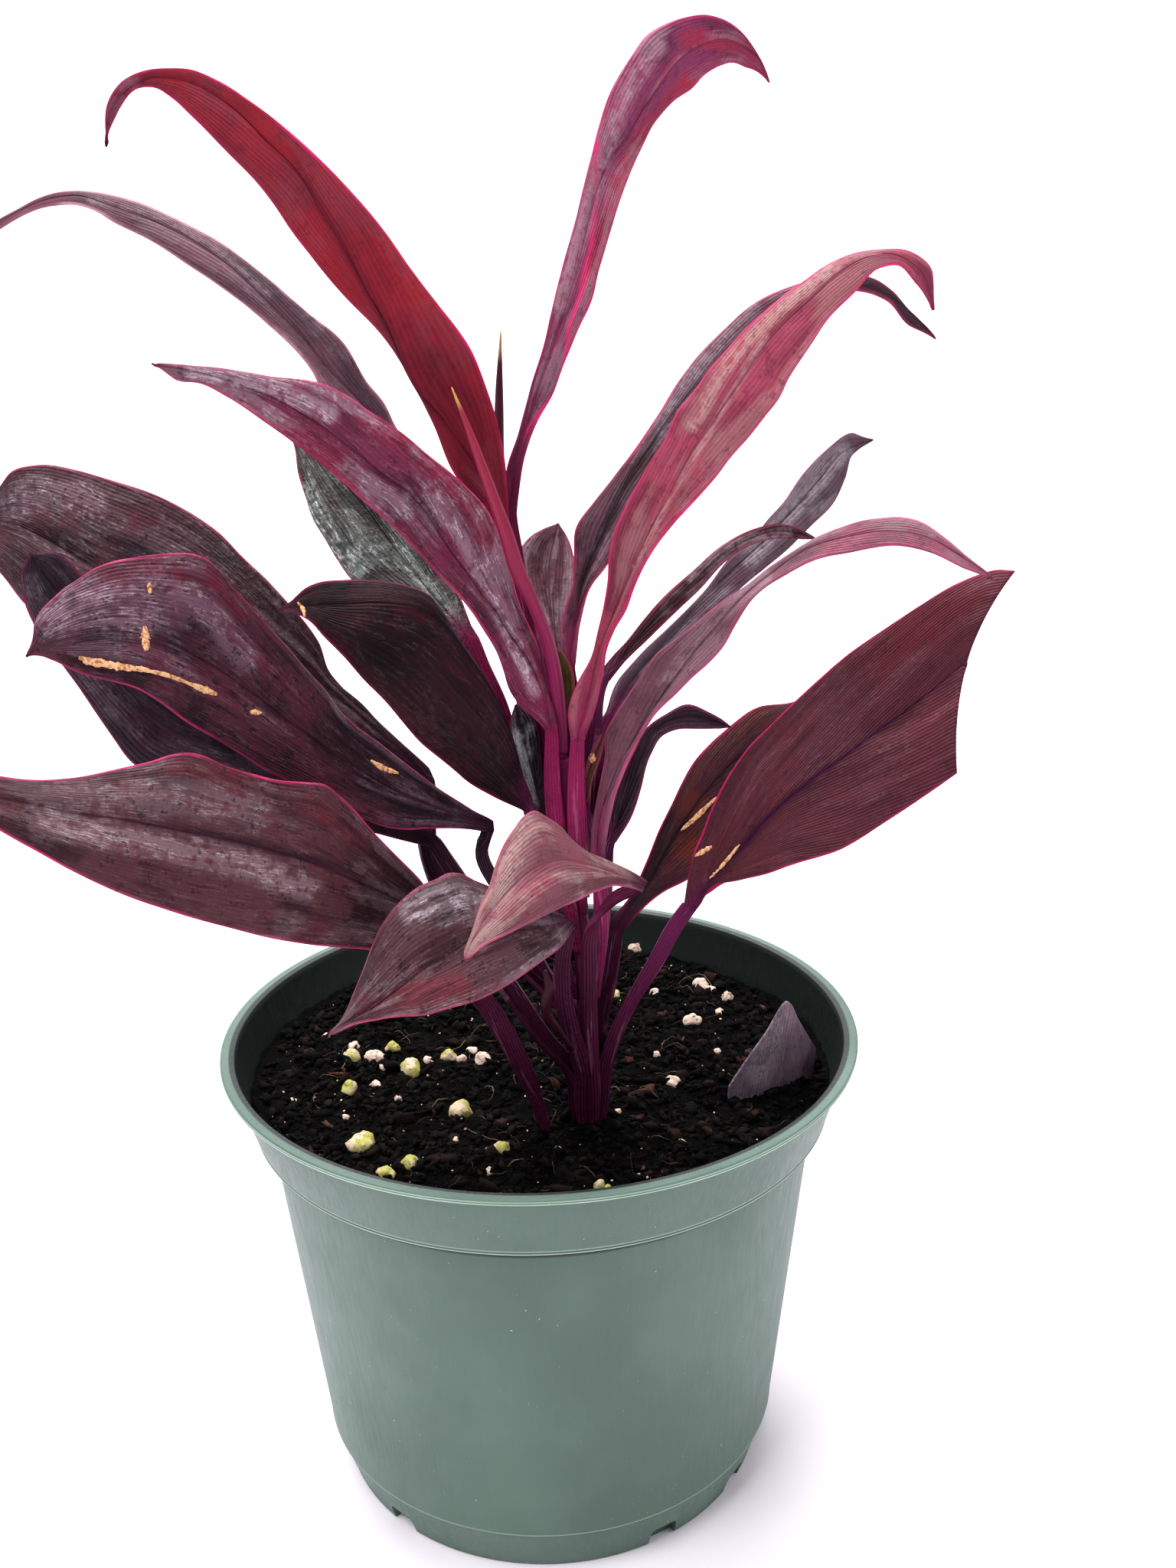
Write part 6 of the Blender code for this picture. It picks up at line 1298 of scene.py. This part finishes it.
def pot_plastic(colour, shade):
    """Moulded polypropylene: matte grey-green, scuffed and specked, with painted highlights along its edges and
    painted shade on its inner wall.
    """
    material, add = new_material("moulded polypropylene")
    place = add("TexCoord")
    x, y, z = add("SeparateXYZ", place)
    cloudy = add("TexNoise", place, per_metre(FLOW_MARK), 5.0, 0.55)
    stretch = add("Mapping", place, (per_metre(SCUFF_WIDTH), per_metre(SCUFF_WIDTH), per_metre(SCUFF_LENGTH)))
    scuffs = add("TexNoise", stretch, 1.0, 4.0, 0.7)
    grit = add("TexNoise", place, per_metre(PLASTIC_SPECK), 2.0, 0.55)
    # Painted shade: the inner wall below the rim is darkened nearly to black
    out = add("SQRT", add("ADD", add("POWER", x, 2.0), add("POWER", y, 2.0)))
    lean = add("SUBTRACT", out, add("MULTIPLY", z, INNER_SLOPE))
    inner_shade = add("MULTIPLY", add("MapRange", lean, INNER_FOOT - 0.0002, INNER_FOOT + 0.0003, 1.0, 0.0),
                 add("MapRange", z, 0.10, 0.101))
    # Painted highlights: pale lines at the listed edge heights, broken up by the flow-mark noise
    highlight_breakup = add("MapRange", cloudy, 0.25, 0.5, 0.45, 1.0)
    edges = []
    for height, share in EDGE_HIGHLIGHTS:
        near = add("ABSOLUTE", add("SUBTRACT", z, height * MM))
        edges.append((add("MULTIPLY", add("MapRange", near, 0.0001, 0.00028, share, 0.0), highlight_breakup), "b4ccba"))
    # Layers: flow-mark tone, scuffs and specks as wear, then painted highlights along the edges and painted
    # shade on the inner wall
    mixed = layered(add, colour, (add("MapRange", cloudy, 0.35, 0.65), shade),
                    (add("MULTIPLY", add("MapRange", scuffs, 0.66, 0.76), 0.25), "a9bcb0"),
                    (add("MULTIPLY", add("MapRange", grit, 0.74, 0.8), 0.7), "c8d4cc"),
                    *edges, (add("MULTIPLY", inner_shade, 0.93), "0c1613"))
    rough = add("MapRange", scuffs, 0.3, 0.8, 0.42, 0.62)
    height = add("MULTIPLY_ADD", grit, 0.4, scuffs)
    return finish(material, {"Base Color": mixed, "Roughness": rough, "IOR": 1.49,
                             "Normal": add("Bump", height, 0.12, 0.0002)})


def drain_rod(angle):
    """An upright round rod through the pot's gutter, as the cutting tool of a drain hole."""
    middle = (GUTTER_INNER + GUTTER_OUTER) / 2 + 0.2
    x, y = middle * math.cos(angle), middle * math.sin(angle)
    points, quads = closed_tube(tube_grid(np.array([(x, y, 1.0), (x, y, 9.0)]), [DRAIN_RADIUS] * 2, 24))
    return plain_object("cutter", points * MM, outward(points, quads).tolist())


def notch_block(angle):
    """The scoop of one foot notch as a tool: an upright block with shoulders rounded by cosine and sine."""
    c, s = math.cos(angle), math.sin(angle)
    half, top, bend = NOTCH_WIDTH / 2, NOTCH_RISE, 1.5
    turn = np.linspace(0, np.pi / 2, 7)
    right = np.stack([half - bend + bend * np.cos(turn), top - bend + bend * np.sin(turn)], axis=1)
    section = np.concatenate([[(-half - 0.3, -1.0), (half + 0.3, -1.0)], right, right[::-1] * [-1, 1]])
    count = len(section)
    points = np.array([(r * c - t * s, r * s + t * c, z) for r in (FOOT_RADIUS - NOTCH_DEPTH, FOOT_RADIUS + 8)
                       for t, z in section])
    faces = [tuple(range(count - 1, -1, -1)), tuple(range(count, 2 * count))]
    faces += [(k, (k + 1) % count, (k + 1) % count + count, k + count) for k in range(count)]
    return plain_object("scoop", points * MM, faces)


def cut_out(piece, tools):
    """Cuts the tools out of a piece, one after another, and removes them."""
    for tool in tools:
        step = piece.modifiers.new("Cut", "BOOLEAN")
        step.operation = "DIFFERENCE"
        step.solver = "EXACT"
        step.object = tool
    bpy.context.view_layer.update()
    bpy.context.view_layer.objects.active = piece
    for step in list(piece.modifiers):
        bpy.ops.object.modifier_apply(modifier=step.name)
    for tool in tools:
        bpy.data.objects.remove(tool)


def build_pot(sides, colour, shade):
    """The pot: its profile turned about Z and closed, with drain holes and foot notches cut out."""
    profile = pot_profile()
    radius, height = profile[:, :1], np.repeat(profile[:, 1:], sides, axis=1)
    grid = np.stack([radius * np.cos(turns(sides)), radius * np.sin(turns(sides)), height], axis=-1)
    points = np.concatenate([grid.reshape(-1, 3), [(0.0, 0.0, 0.0), (0.0, 0.0, FLOOR)]])
    quads = grid_quads(len(profile), sides, closed=True)
    side, under_middle = np.arange(sides), len(profile) * sides
    after, last = (side + 1) % sides, under_middle - sides
    under = np.stack([after, side, np.full(sides, under_middle)], axis=1)
    floor = np.stack([last + side, last + after, np.full(sides, under_middle + 1)], axis=1)
    pot = plain_object("nursery_pot", points * MM, quads.tolist() + under.tolist() + floor.tolist())
    if not np.array_equal(outward(points, quads), quads):
        pot.data.flip_normals()
    holes = 2 * np.pi * (np.arange(DRAIN_HOLES) + 0.5) / DRAIN_HOLES
    cut_out(pot, [drain_rod(angle) for angle in holes] + [notch_block(a) for a in np.radians(NOTCH_ANGLES)])
    mesh = pot.data
    mesh.polygons.foreach_set("use_smooth", np.ones(len(mesh.polygons), bool))
    mesh.set_sharp_from_angle(angle=math.radians(35))
    mesh.materials.clear()
    mesh.materials.append(pot_plastic(colour, shade))
    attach(pot, "root")
    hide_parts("pot")


def mix_height(x, y):
    """Height of the potting mix: three sizes of random lumps, and a rise 2.4 exp(-(r / 9)^2) at the stem."""
    height = sum(rise * lumps(x + MIX_SHIFT, y + MIX_SHIFT, size, seed) for rise, size, seed in MIX_LUMPS)
    foot = stem_at(SOIL_TOP)[0]
    away = np.hypot(x - foot[0], y - foot[1] + 2.0) / STEM_RISE_REACH
    return SOIL_TOP - 0.4 + height + STEM_RISE * np.exp(-away ** 2)


def potting_mix(dark, brown):
    """Peat and composted bark: nearly black, fully matte, with brown fibre flecks."""
    material, add = new_material("peat and bark mix")
    place = add("TexCoord")
    coarse = add("TexNoise", place, per_metre(MIX_CLOD), 6.0, 0.65)
    fine = add("TexNoise", place, per_metre(MIX_FIBRE), 4.0, 0.6)
    mixed = layered(add, dark, (add("MapRange", coarse, 0.5, 0.75), brown),
                    (add("MULTIPLY", add("MapRange", fine, 0.66, 0.74), 0.5), "6e5648"))
    return finish(material, {"Base Color": mixed, "Roughness": 0.92, "IOR": 1.2,
                             "Normal": add("Bump", add("ADD", coarse, fine), 0.8, 0.0012)})


def build_mix(dark, brown):
    """The potting mix: a lumpy top on rings at (1 - t)^0.8 of the radius, and a plain body below."""
    edge = BAND_LOW_RADIUS - WALL + INNER_SLOPE * (SOIL_TOP - SHELF - 0.4) - GAP - 0.15
    radii = edge * (1 - np.linspace(0, 1, MIX_RINGS + 1)) ** 0.8 + 0.02
    body = [(0.02, FLOOR + GAP), (GUTTER_INNER - 2.0, FLOOR + GAP),
            (GUTTER_INNER - 1.2, GUTTER_RISE + FLOOR + GAP), (FLOOR_RADIUS - 1.4, GUTTER_RISE + FLOOR + GAP),
            (FLOOR_RADIUS - 0.5, GUTTER_RISE + FLOOR + 1.4),
            (WALL_LOW_RADIUS - WALL - 0.45, WALL_LOW + 0.9), (WALL_TOP_RADIUS - WALL - 0.45, SHELF),
            (BAND_LOW_RADIUS - WALL - 0.45, SHELF + 1.0)]
    profile = np.array(body + [(radius, SOIL_TOP) for radius in radii])
    turn = turns(MIX_SIDES)
    x, y = profile[:, :1] * np.cos(turn), profile[:, :1] * np.sin(turn)
    z = np.repeat(profile[:, 1:], MIX_SIDES, axis=1)
    z[len(body):] = mix_height(x[len(body):], y[len(body):])
    points = np.stack([x, y, z], axis=-1).reshape(-1, 3)
    quads = grid_quads(len(profile), MIX_SIDES, closed=True)
    points[-MIX_SIDES:] = points[-MIX_SIDES:].mean(axis=0)
    points[:MIX_SIDES] = points[:MIX_SIDES].mean(axis=0)
    mesh_piece("potting_mix", points, outward(points, quads), potting_mix(dark, brown), "soil")


def ball_form(splits):
    """Corners and faces of a 20-sided ball; each split makes four of each face and pushes new corners out."""
    g = (1 + 5 ** 0.5) / 2
    corners = unit(np.array([(-1, g, 0), (1, g, 0), (-1, -g, 0), (1, -g, 0), (0, -1, g), (0, 1, g),
                             (0, -1, -g), (0, 1, -g), (g, 0, -1), (g, 0, 1), (-g, 0, -1), (-g, 0, 1)]))
    faces = np.array([(0, 11, 5), (0, 5, 1), (0, 1, 7), (0, 7, 10), (0, 10, 11), (1, 5, 9), (5, 11, 4),
                      (11, 10, 2), (10, 7, 6), (7, 1, 8), (3, 9, 4), (3, 4, 2), (3, 2, 6), (3, 6, 8),
                      (3, 8, 9), (4, 9, 5), (2, 4, 11), (6, 2, 10), (8, 6, 7), (9, 8, 1)])
    for _ in range(splits):
        edges = np.sort(np.concatenate([faces[:, [0, 1]], faces[:, [1, 2]], faces[:, [2, 0]]]), axis=1)
        unique, inverse = np.unique(edges, axis=0, return_inverse=True)
        ab, bc, ca = (inverse.ravel() + len(corners)).reshape(3, -1)
        a, b, c = faces.T
        corners = np.concatenate([corners, unit(corners[unique].mean(axis=1))])
        parts = ((a, ab, ca), (b, bc, ab), (c, ca, bc), (ab, bc, ca))
        faces = np.concatenate([np.stack(part, axis=1) for part in parts])
    return corners, faces


def scatter_lumps(name, places, sizes, shape, splits, seed, material, tones):
    """Many rough grains as one piece: each a ball whose radius is 1 plus a sum of sines of its direction."""
    squash, rough, stretch = shape
    draw = np.random.default_rng(seed)
    corners, faces = ball_form(splits)
    count = len(places)
    swell = 1 + rough * 0.4 * draw.uniform(-1, 1, (count, len(corners)))
    for beat in (2.0, 3.5, 5.0):
        lean = draw.normal(size=(count, 3))
        swell = swell + rough / beat * 2 * np.sin(beat * (lean @ corners.T) + draw.uniform(0, 6, (count, 1)))
    turn = draw.uniform(0, 2 * np.pi, count)[:, None]
    axes = draw.uniform(squash, 1.0, (count, 3)) * [1.0 + stretch, 1.0, 1.0]
    x, y, z = np.moveaxis(corners[None] * swell[..., None] * axes[:, None], -1, 0)
    turned = [x * np.cos(turn) - y * np.sin(turn), x * np.sin(turn) + y * np.cos(turn), z]
    form = np.stack(turned, axis=-1) * np.asarray(sizes)[:, None, None]
    points = (form + np.asarray(places)[:, None]).reshape(-1, 3)
    every = (faces[None] + (np.arange(count) * len(corners))[:, None, None]).reshape(-1, 3)
    tone = np.repeat(np.asarray(tones, float), len(corners))
    mesh_piece(name, points, every, material, fields={"tone": tone})


def toned(name, low, high, rough, grain, flecks=None):
    """A dull grain whose colour runs between two by its tone, with a rough skin and maybe flecks."""
    material, add = new_material(name)
    place = add("TexCoord")
    speckle = add("TexNoise", place, per_metre(grain), 4.0, 0.65)
    tinge = add("MapRange", add("TexNoise", place, per_metre(TINGE_SIZE), 2.0, 0.55), 0.4, 0.58, 0.25, 1.0)
    colour = add("Mix", add("MULTIPLY", add("Attribute", "tone"), tinge), low, high)
    if flecks:
        colour = add("Mix", add("MapRange", speckle, 0.5, 0.72), colour, flecks)
    return finish(material, {"Base Color": colour, "Roughness": rough, "IOR": 1.25,
                             "Normal": add("Bump", speckle, 0.6, 0.0006)})


def free_places(draw, count, reach):
    """Random places on the mix, kept clear of the stem."""
    angle = draw.uniform(0, 2 * np.pi, count * 2)
    radius = np.sqrt(draw.uniform(0, 1, count * 2)) * reach
    x, y = radius * np.cos(angle), radius * np.sin(angle)
    stem = stem_at(SOIL_TOP)[0]
    clear = np.hypot(x - stem[0], y - stem[1]) > CLEAR_OF_STEM
    return x[clear][:count], y[clear][:count]


def strew(draw, name, material, count, reach, size, lift, shape, splits, seed, tone_power):
    """Loose grains over the mix: sizes are a u^b + c for random u, and tones u^d."""
    low, high, power, scale, least = size
    x, y = free_places(draw, count, reach)
    grain = draw.uniform(low, high, len(x)) ** power * scale + least
    tones = draw.uniform(0, 1, len(x)) ** tone_power
    places = np.c_[x, y, mix_height(x, y) + grain * lift]
    scatter_lumps(name, places, grain, shape, splits, seed, material, tones)


def build_grains(perlite_count, crumb_count):
    """Perlite, crumbs, bark bits and fine roots on the mix."""
    draw = np.random.default_rng(21)
    seen = np.array(PERLITE, float)
    spots = on_level(seen[:, 0], seen[:, 1], SOIL_TOP + 0.5)
    x, y = free_places(draw, perlite_count, 70.0)
    px, py = in_view(np.stack([x, y, np.full(len(x), SOIL_TOP)], axis=1))
    free = np.any([(px > left) & (px < right) & (py > top) & (py < low)
                   for left, right, top, low in RANDOM_PERLITE], axis=0)
    places = np.concatenate([spots[:, :2], np.stack([x[free], y[free]], axis=1)])
    sizes = np.r_[seen[:, 2] / MIX_VIEW_SCALE / 2, draw.uniform(0.7, 2.4, free.sum())]
    tones = np.r_[seen[:, 3], draw.uniform(0, 1, free.sum()) > 0.7]
    z = mix_height(places[:, 0], places[:, 1]) + sizes * 0.12
    perlite = toned("expanded perlite", "d8c0b2", "aaa85c", 0.85, PERLITE_PORE, "6c5c48")
    crumbs = toned("peat crumbs", "040303", "2c1e1a", 0.9, PEAT_FIBRE, "0c0908")
    bark = toned("composted bark", "100a09", "5c3c32", 0.9, BARK_FIBRE, "1c1210")
    scatter_lumps("perlite_grains", np.c_[places, z], sizes, (0.7, 0.16, 0.25), 2, 22, perlite, tones)
    strew(draw, "perlite_dust", perlite, DUST_COUNT, reach=72.0, size=(0.14, 0.42, 1, 1.0, 0.0), lift=1.0,
          shape=(0.6, 0.3, 0.2), splits=0, seed=25, tone_power=3)
    strew(draw, "peat_crumbs", crumbs, crumb_count, reach=73.0, size=(0.3, 1.0, 4, 1.4, 0.22), lift=0.2,
          shape=(0.35, 0.5, 0.8), splits=0, seed=23, tone_power=4)
    strew(draw, "bark_bits", bark, BARK_COUNT, reach=72.0, size=(0.5, 1.0, 2, 2.2, 0.0), lift=0.1,
          shape=(0.2, 0.42, 1.2), splits=1, seed=24, tone_power=2)
    build_roots(draw)


def build_roots(draw):
    """Fine roots: short hair-thin tubes that wander over the mix and dip in at both ends."""
    x, y = free_places(draw, ROOT_COUNT, 66.0)
    heading = draw.uniform(0, 2 * np.pi, ROOT_COUNT)
    length = draw.uniform(4, 15, ROOT_COUNT)
    bend = draw.uniform(-2.2, 2.2, ROOT_COUNT)
    part = np.linspace(0, 1, ROOT_STEPS)[None]
    angle = heading[:, None] + bend[:, None] * part
    px = x[:, None] + np.cumsum(np.cos(angle), axis=1) * length[:, None] / ROOT_STEPS
    py = y[:, None] + np.cumsum(np.sin(angle), axis=1) * length[:, None] / ROOT_STEPS
    shrink = np.minimum(1.0, GRAIN_LIMIT / np.maximum(np.hypot(px, py), 1e-6))
    px, py = px * shrink, py * shrink
    arch = np.sin(np.pi * part) * draw.uniform(0.4, 2.2, ROOT_COUNT)[:, None] - 0.4
    radius = draw.uniform(0.06, 0.17, ROOT_COUNT)[:, None, None, None]
    centre = np.stack([px, py, mix_height(px, py) + arch], axis=-1)
    along = unit(np.gradient(centre, axis=1))
    side = unit(np.cross(along, [0.0, 0.0, 1.0]))
    up = np.cross(along, side)
    turn = turns(ROOT_SIDES)[None, None, :, None]
    ring = np.cos(turn) * side[:, :, None] + np.sin(turn) * up[:, :, None]
    taper = np.sin(np.pi * np.clip(part, 0.04, 0.96))[..., None, None] ** 0.3
    grid = centre[:, :, None] + ring * radius * taper
    corners = ROOT_STEPS * ROOT_SIDES
    quads = grid_quads(ROOT_STEPS, ROOT_SIDES, closed=True)
    every = (quads[None] + (np.arange(ROOT_COUNT) * corners)[:, None, None]).reshape(-1, 4)
    tone = np.repeat(draw.uniform(0, 1, ROOT_COUNT), corners)
    roots = toned("fine plant roots", "32261f", "806c5a", 0.85, ROOT_FIBRE)
    mesh_piece("fine_roots", grid.reshape(-1, 3), every[:, ::-1], roots, fields={"tone": tone})


def build_stage(sun, fill_light):
    """Pale floor that bends up to a wall, pale surroundings, soft lights and the camera at the eye."""
    scene = bpy.context.scene
    turn = np.linspace(0, np.pi / 2, 24)
    bend = np.stack([1.2 + np.sin(turn), 1.0 - np.cos(turn)], axis=1)
    side = np.concatenate([[(-3.0, 0.0)], bend, [(2.2, 4.0)]])
    points = [(x, y, z) for y, z in side for x in (-4.0, 4.0)]
    faces = [(2 * k, 2 * k + 1, 2 * k + 3, 2 * k + 2) for k in range(len(side) - 1)]
    floor = plain_object("floor", points, faces)
    floor.data.polygons.foreach_set("use_smooth", np.ones(len(faces), bool))
    material, _ = new_material("pale studio paper")
    floor.data.materials.append(finish(material, {"Base Color": "ece6ed", "Roughness": 0.9, "IOR": 1.45}))
    world = bpy.data.worlds.new("studio")
    scene.world = world
    world.use_nodes = True
    back = world.node_tree.nodes["Background"]
    back.inputs["Color"].default_value = linear("f6f4f8")
    back.inputs["Strength"].default_value = fill_light
    for name, (place, target, width, share) in LAMPS.items():
        lamp = bpy.data.lights.new(name, "AREA")
        lamp.size = width
        lamp.energy = sun * share
        light = bpy.data.objects.new(name, lamp)
        light.location = place
        aim = np.subtract(target, place)
        light.rotation_euler = (math.atan2(math.hypot(aim[0], aim[1]), -aim[2]), 0,
                                math.atan2(aim[1], aim[0]) - math.pi / 2)
        scene.collection.objects.link(light)
    scene.view_settings.view_transform = "Standard"
    scene.view_settings.look = "Medium High Contrast"
    camera = bpy.data.cameras.new("eye")
    camera.sensor_fit = "VERTICAL"
    camera.sensor_height = 24.0
    camera.lens = EYE_REACH / VIEW_HEIGHT * camera.sensor_height
    camera.clip_start = 0.01
    viewer = bpy.data.objects.new("eye", camera)
    right, up, forward = sight_axes()
    turn = np.eye(4)
    turn[:3, 0], turn[:3, 1], turn[:3, 2], turn[:3, 3] = right, up, -forward, EYE * MM
    viewer.matrix_world = Matrix(turn.tolist())
    scene.collection.objects.link(viewer)
    scene.camera = viewer


class TiPotSettings(bpy.types.PropertyGroup):
    """Sizes and colours of the pot."""
    sides: IntProperty(name="Sides", description="Faces round the pot", default=192, min=48, max=256)
    colour: FloatVectorProperty(name="Colour", description="Plastic colour", subtype="COLOR", size=4,
                                default=linear("5b7166"), min=0, max=1)
    shade: FloatVectorProperty(name="Shade", description="Darker plastic colour", subtype="COLOR", size=4,
                               default=linear("50665b"), min=0, max=1)


class TiMixSettings(bpy.types.PropertyGroup):
    """Grain counts and colours of the potting mix."""
    dark: FloatVectorProperty(name="Dark", description="Colour of the wet mix", subtype="COLOR", size=4,
                              default=linear("040303"), min=0, max=1)
    brown: FloatVectorProperty(name="Brown", description="Colour of its drier crumbs", subtype="COLOR", size=4,
                               default=linear("140f0d"), min=0, max=1)
    perlite: IntProperty(name="Perlite", description="Perlite grains tried out of the view", default=70)
    crumbs: IntProperty(name="Crumbs", description="Loose crumbs on the mix", default=8000)


class TiLeafSettings(bpy.types.PropertyGroup):
    """Fineness and margin of the leaves."""
    fineness: FloatProperty(name="Fineness", description="Step of the blade's grid", default=0.85 * MM,
                            unit="LENGTH")
    margin: FloatProperty(name="Margin", description="Width of the bright margin", default=0.42 * MM,
                          unit="LENGTH")


class TiStageSettings(bpy.types.PropertyGroup):
    """Strength of the studio light."""
    key: FloatProperty(name="Key light", description="Power of the key light", default=22.0, unit="POWER")
    fill: FloatProperty(name="Fill", description="Strength of the pale surroundings", default=0.45)


class TI_OT_pot(bpy.types.Operator):
    """Build the nursery pot"""
    bl_idname = "ti.pot"
    bl_label = "Nursery pot"

    def execute(self, context):
        settings = context.scene.ti_pot
        build_pot(settings.sides, tuple(settings.colour), tuple(settings.shade))
        return {"FINISHED"}


class TI_OT_mix(bpy.types.Operator):
    """Build the potting mix with its grains, bark and roots"""
    bl_idname = "ti.mix"
    bl_label = "Potting mix"

    def execute(self, context):
        settings = context.scene.ti_mix
        build_mix(tuple(settings.dark), tuple(settings.brown))
        build_grains(settings.perlite, settings.crumbs)
        return {"FINISHED"}


class TI_OT_stem(bpy.types.Operator):
    """Build the cane and the furled young leaves"""
    bl_idname = "ti.stem"
    bl_label = "Cane and furled leaves"

    def execute(self, context):
        build_stem()
        build_furled()
        return {"FINISHED"}


class TI_OT_leaves(bpy.types.Operator):
    """Build the leaves with their stalks"""
    bl_idname = "ti.leaves"
    bl_label = "Leaves"

    def execute(self, context):
        settings = context.scene.ti_leaf
        for name, look in LOOKS.items():
            build_leaf(name, look, settings.fineness / MM, settings.margin / MM)
        build_leaf_piece()
        return {"FINISHED"}


class TI_OT_stage(bpy.types.Operator):
    """Build the floor, the lights and the camera"""
    bl_idname = "ti.stage"
    bl_label = "Studio"

    def execute(self, context):
        settings = context.scene.ti_stage
        build_stage(settings.key, settings.fill)
        return {"FINISHED"}


class TI_PT_panel(bpy.types.Panel):
    """The plant's pieces in the sidebar"""
    bl_label = "Ti plant"
    bl_idname = "TI_PT_panel"
    bl_space_type = "VIEW_3D"
    bl_region_type = "UI"
    bl_category = "Ti plant"

    def draw(self, context):
        for group in ("ti_pot", "ti_mix", "ti_leaf", "ti_stage"):
            settings = getattr(context.scene, group)
            box = self.layout.box()
            for key in type(settings).__annotations__:
                box.prop(settings, key)
        for operator in ("ti.pot", "ti.mix", "ti.stem", "ti.leaves", "ti.stage"):
            self.layout.operator(operator)


CLASSES = (TiPotSettings, TiMixSettings, TiLeafSettings, TiStageSettings, TI_OT_pot, TI_OT_mix, TI_OT_stem,
           TI_OT_leaves, TI_OT_stage, TI_PT_panel)
GROUPS = {"ti_pot": TiPotSettings, "ti_mix": TiMixSettings, "ti_leaf": TiLeafSettings,
          "ti_stage": TiStageSettings}


def register():
    """Register the classes and the settings on the scene."""
    for item in CLASSES:
        bpy.utils.register_class(item)
    for name, group in GROUPS.items():
        setattr(bpy.types.Scene, name, PointerProperty(type=group))


def unregister():
    """Remove the settings and the classes."""
    for name in GROUPS:
        delattr(bpy.types.Scene, name)
    for item in reversed(CLASSES):
        bpy.utils.unregister_class(item)


def main():
    """Build everything."""
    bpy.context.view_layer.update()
    register()
    bpy.ops.ti.stage()
    bpy.ops.ti.pot()
    bpy.ops.ti.mix()
    bpy.ops.ti.stem()
    bpy.ops.ti.leaves()
    bpy.context.view_layer.update()


if __name__ == "__main__":
    main()
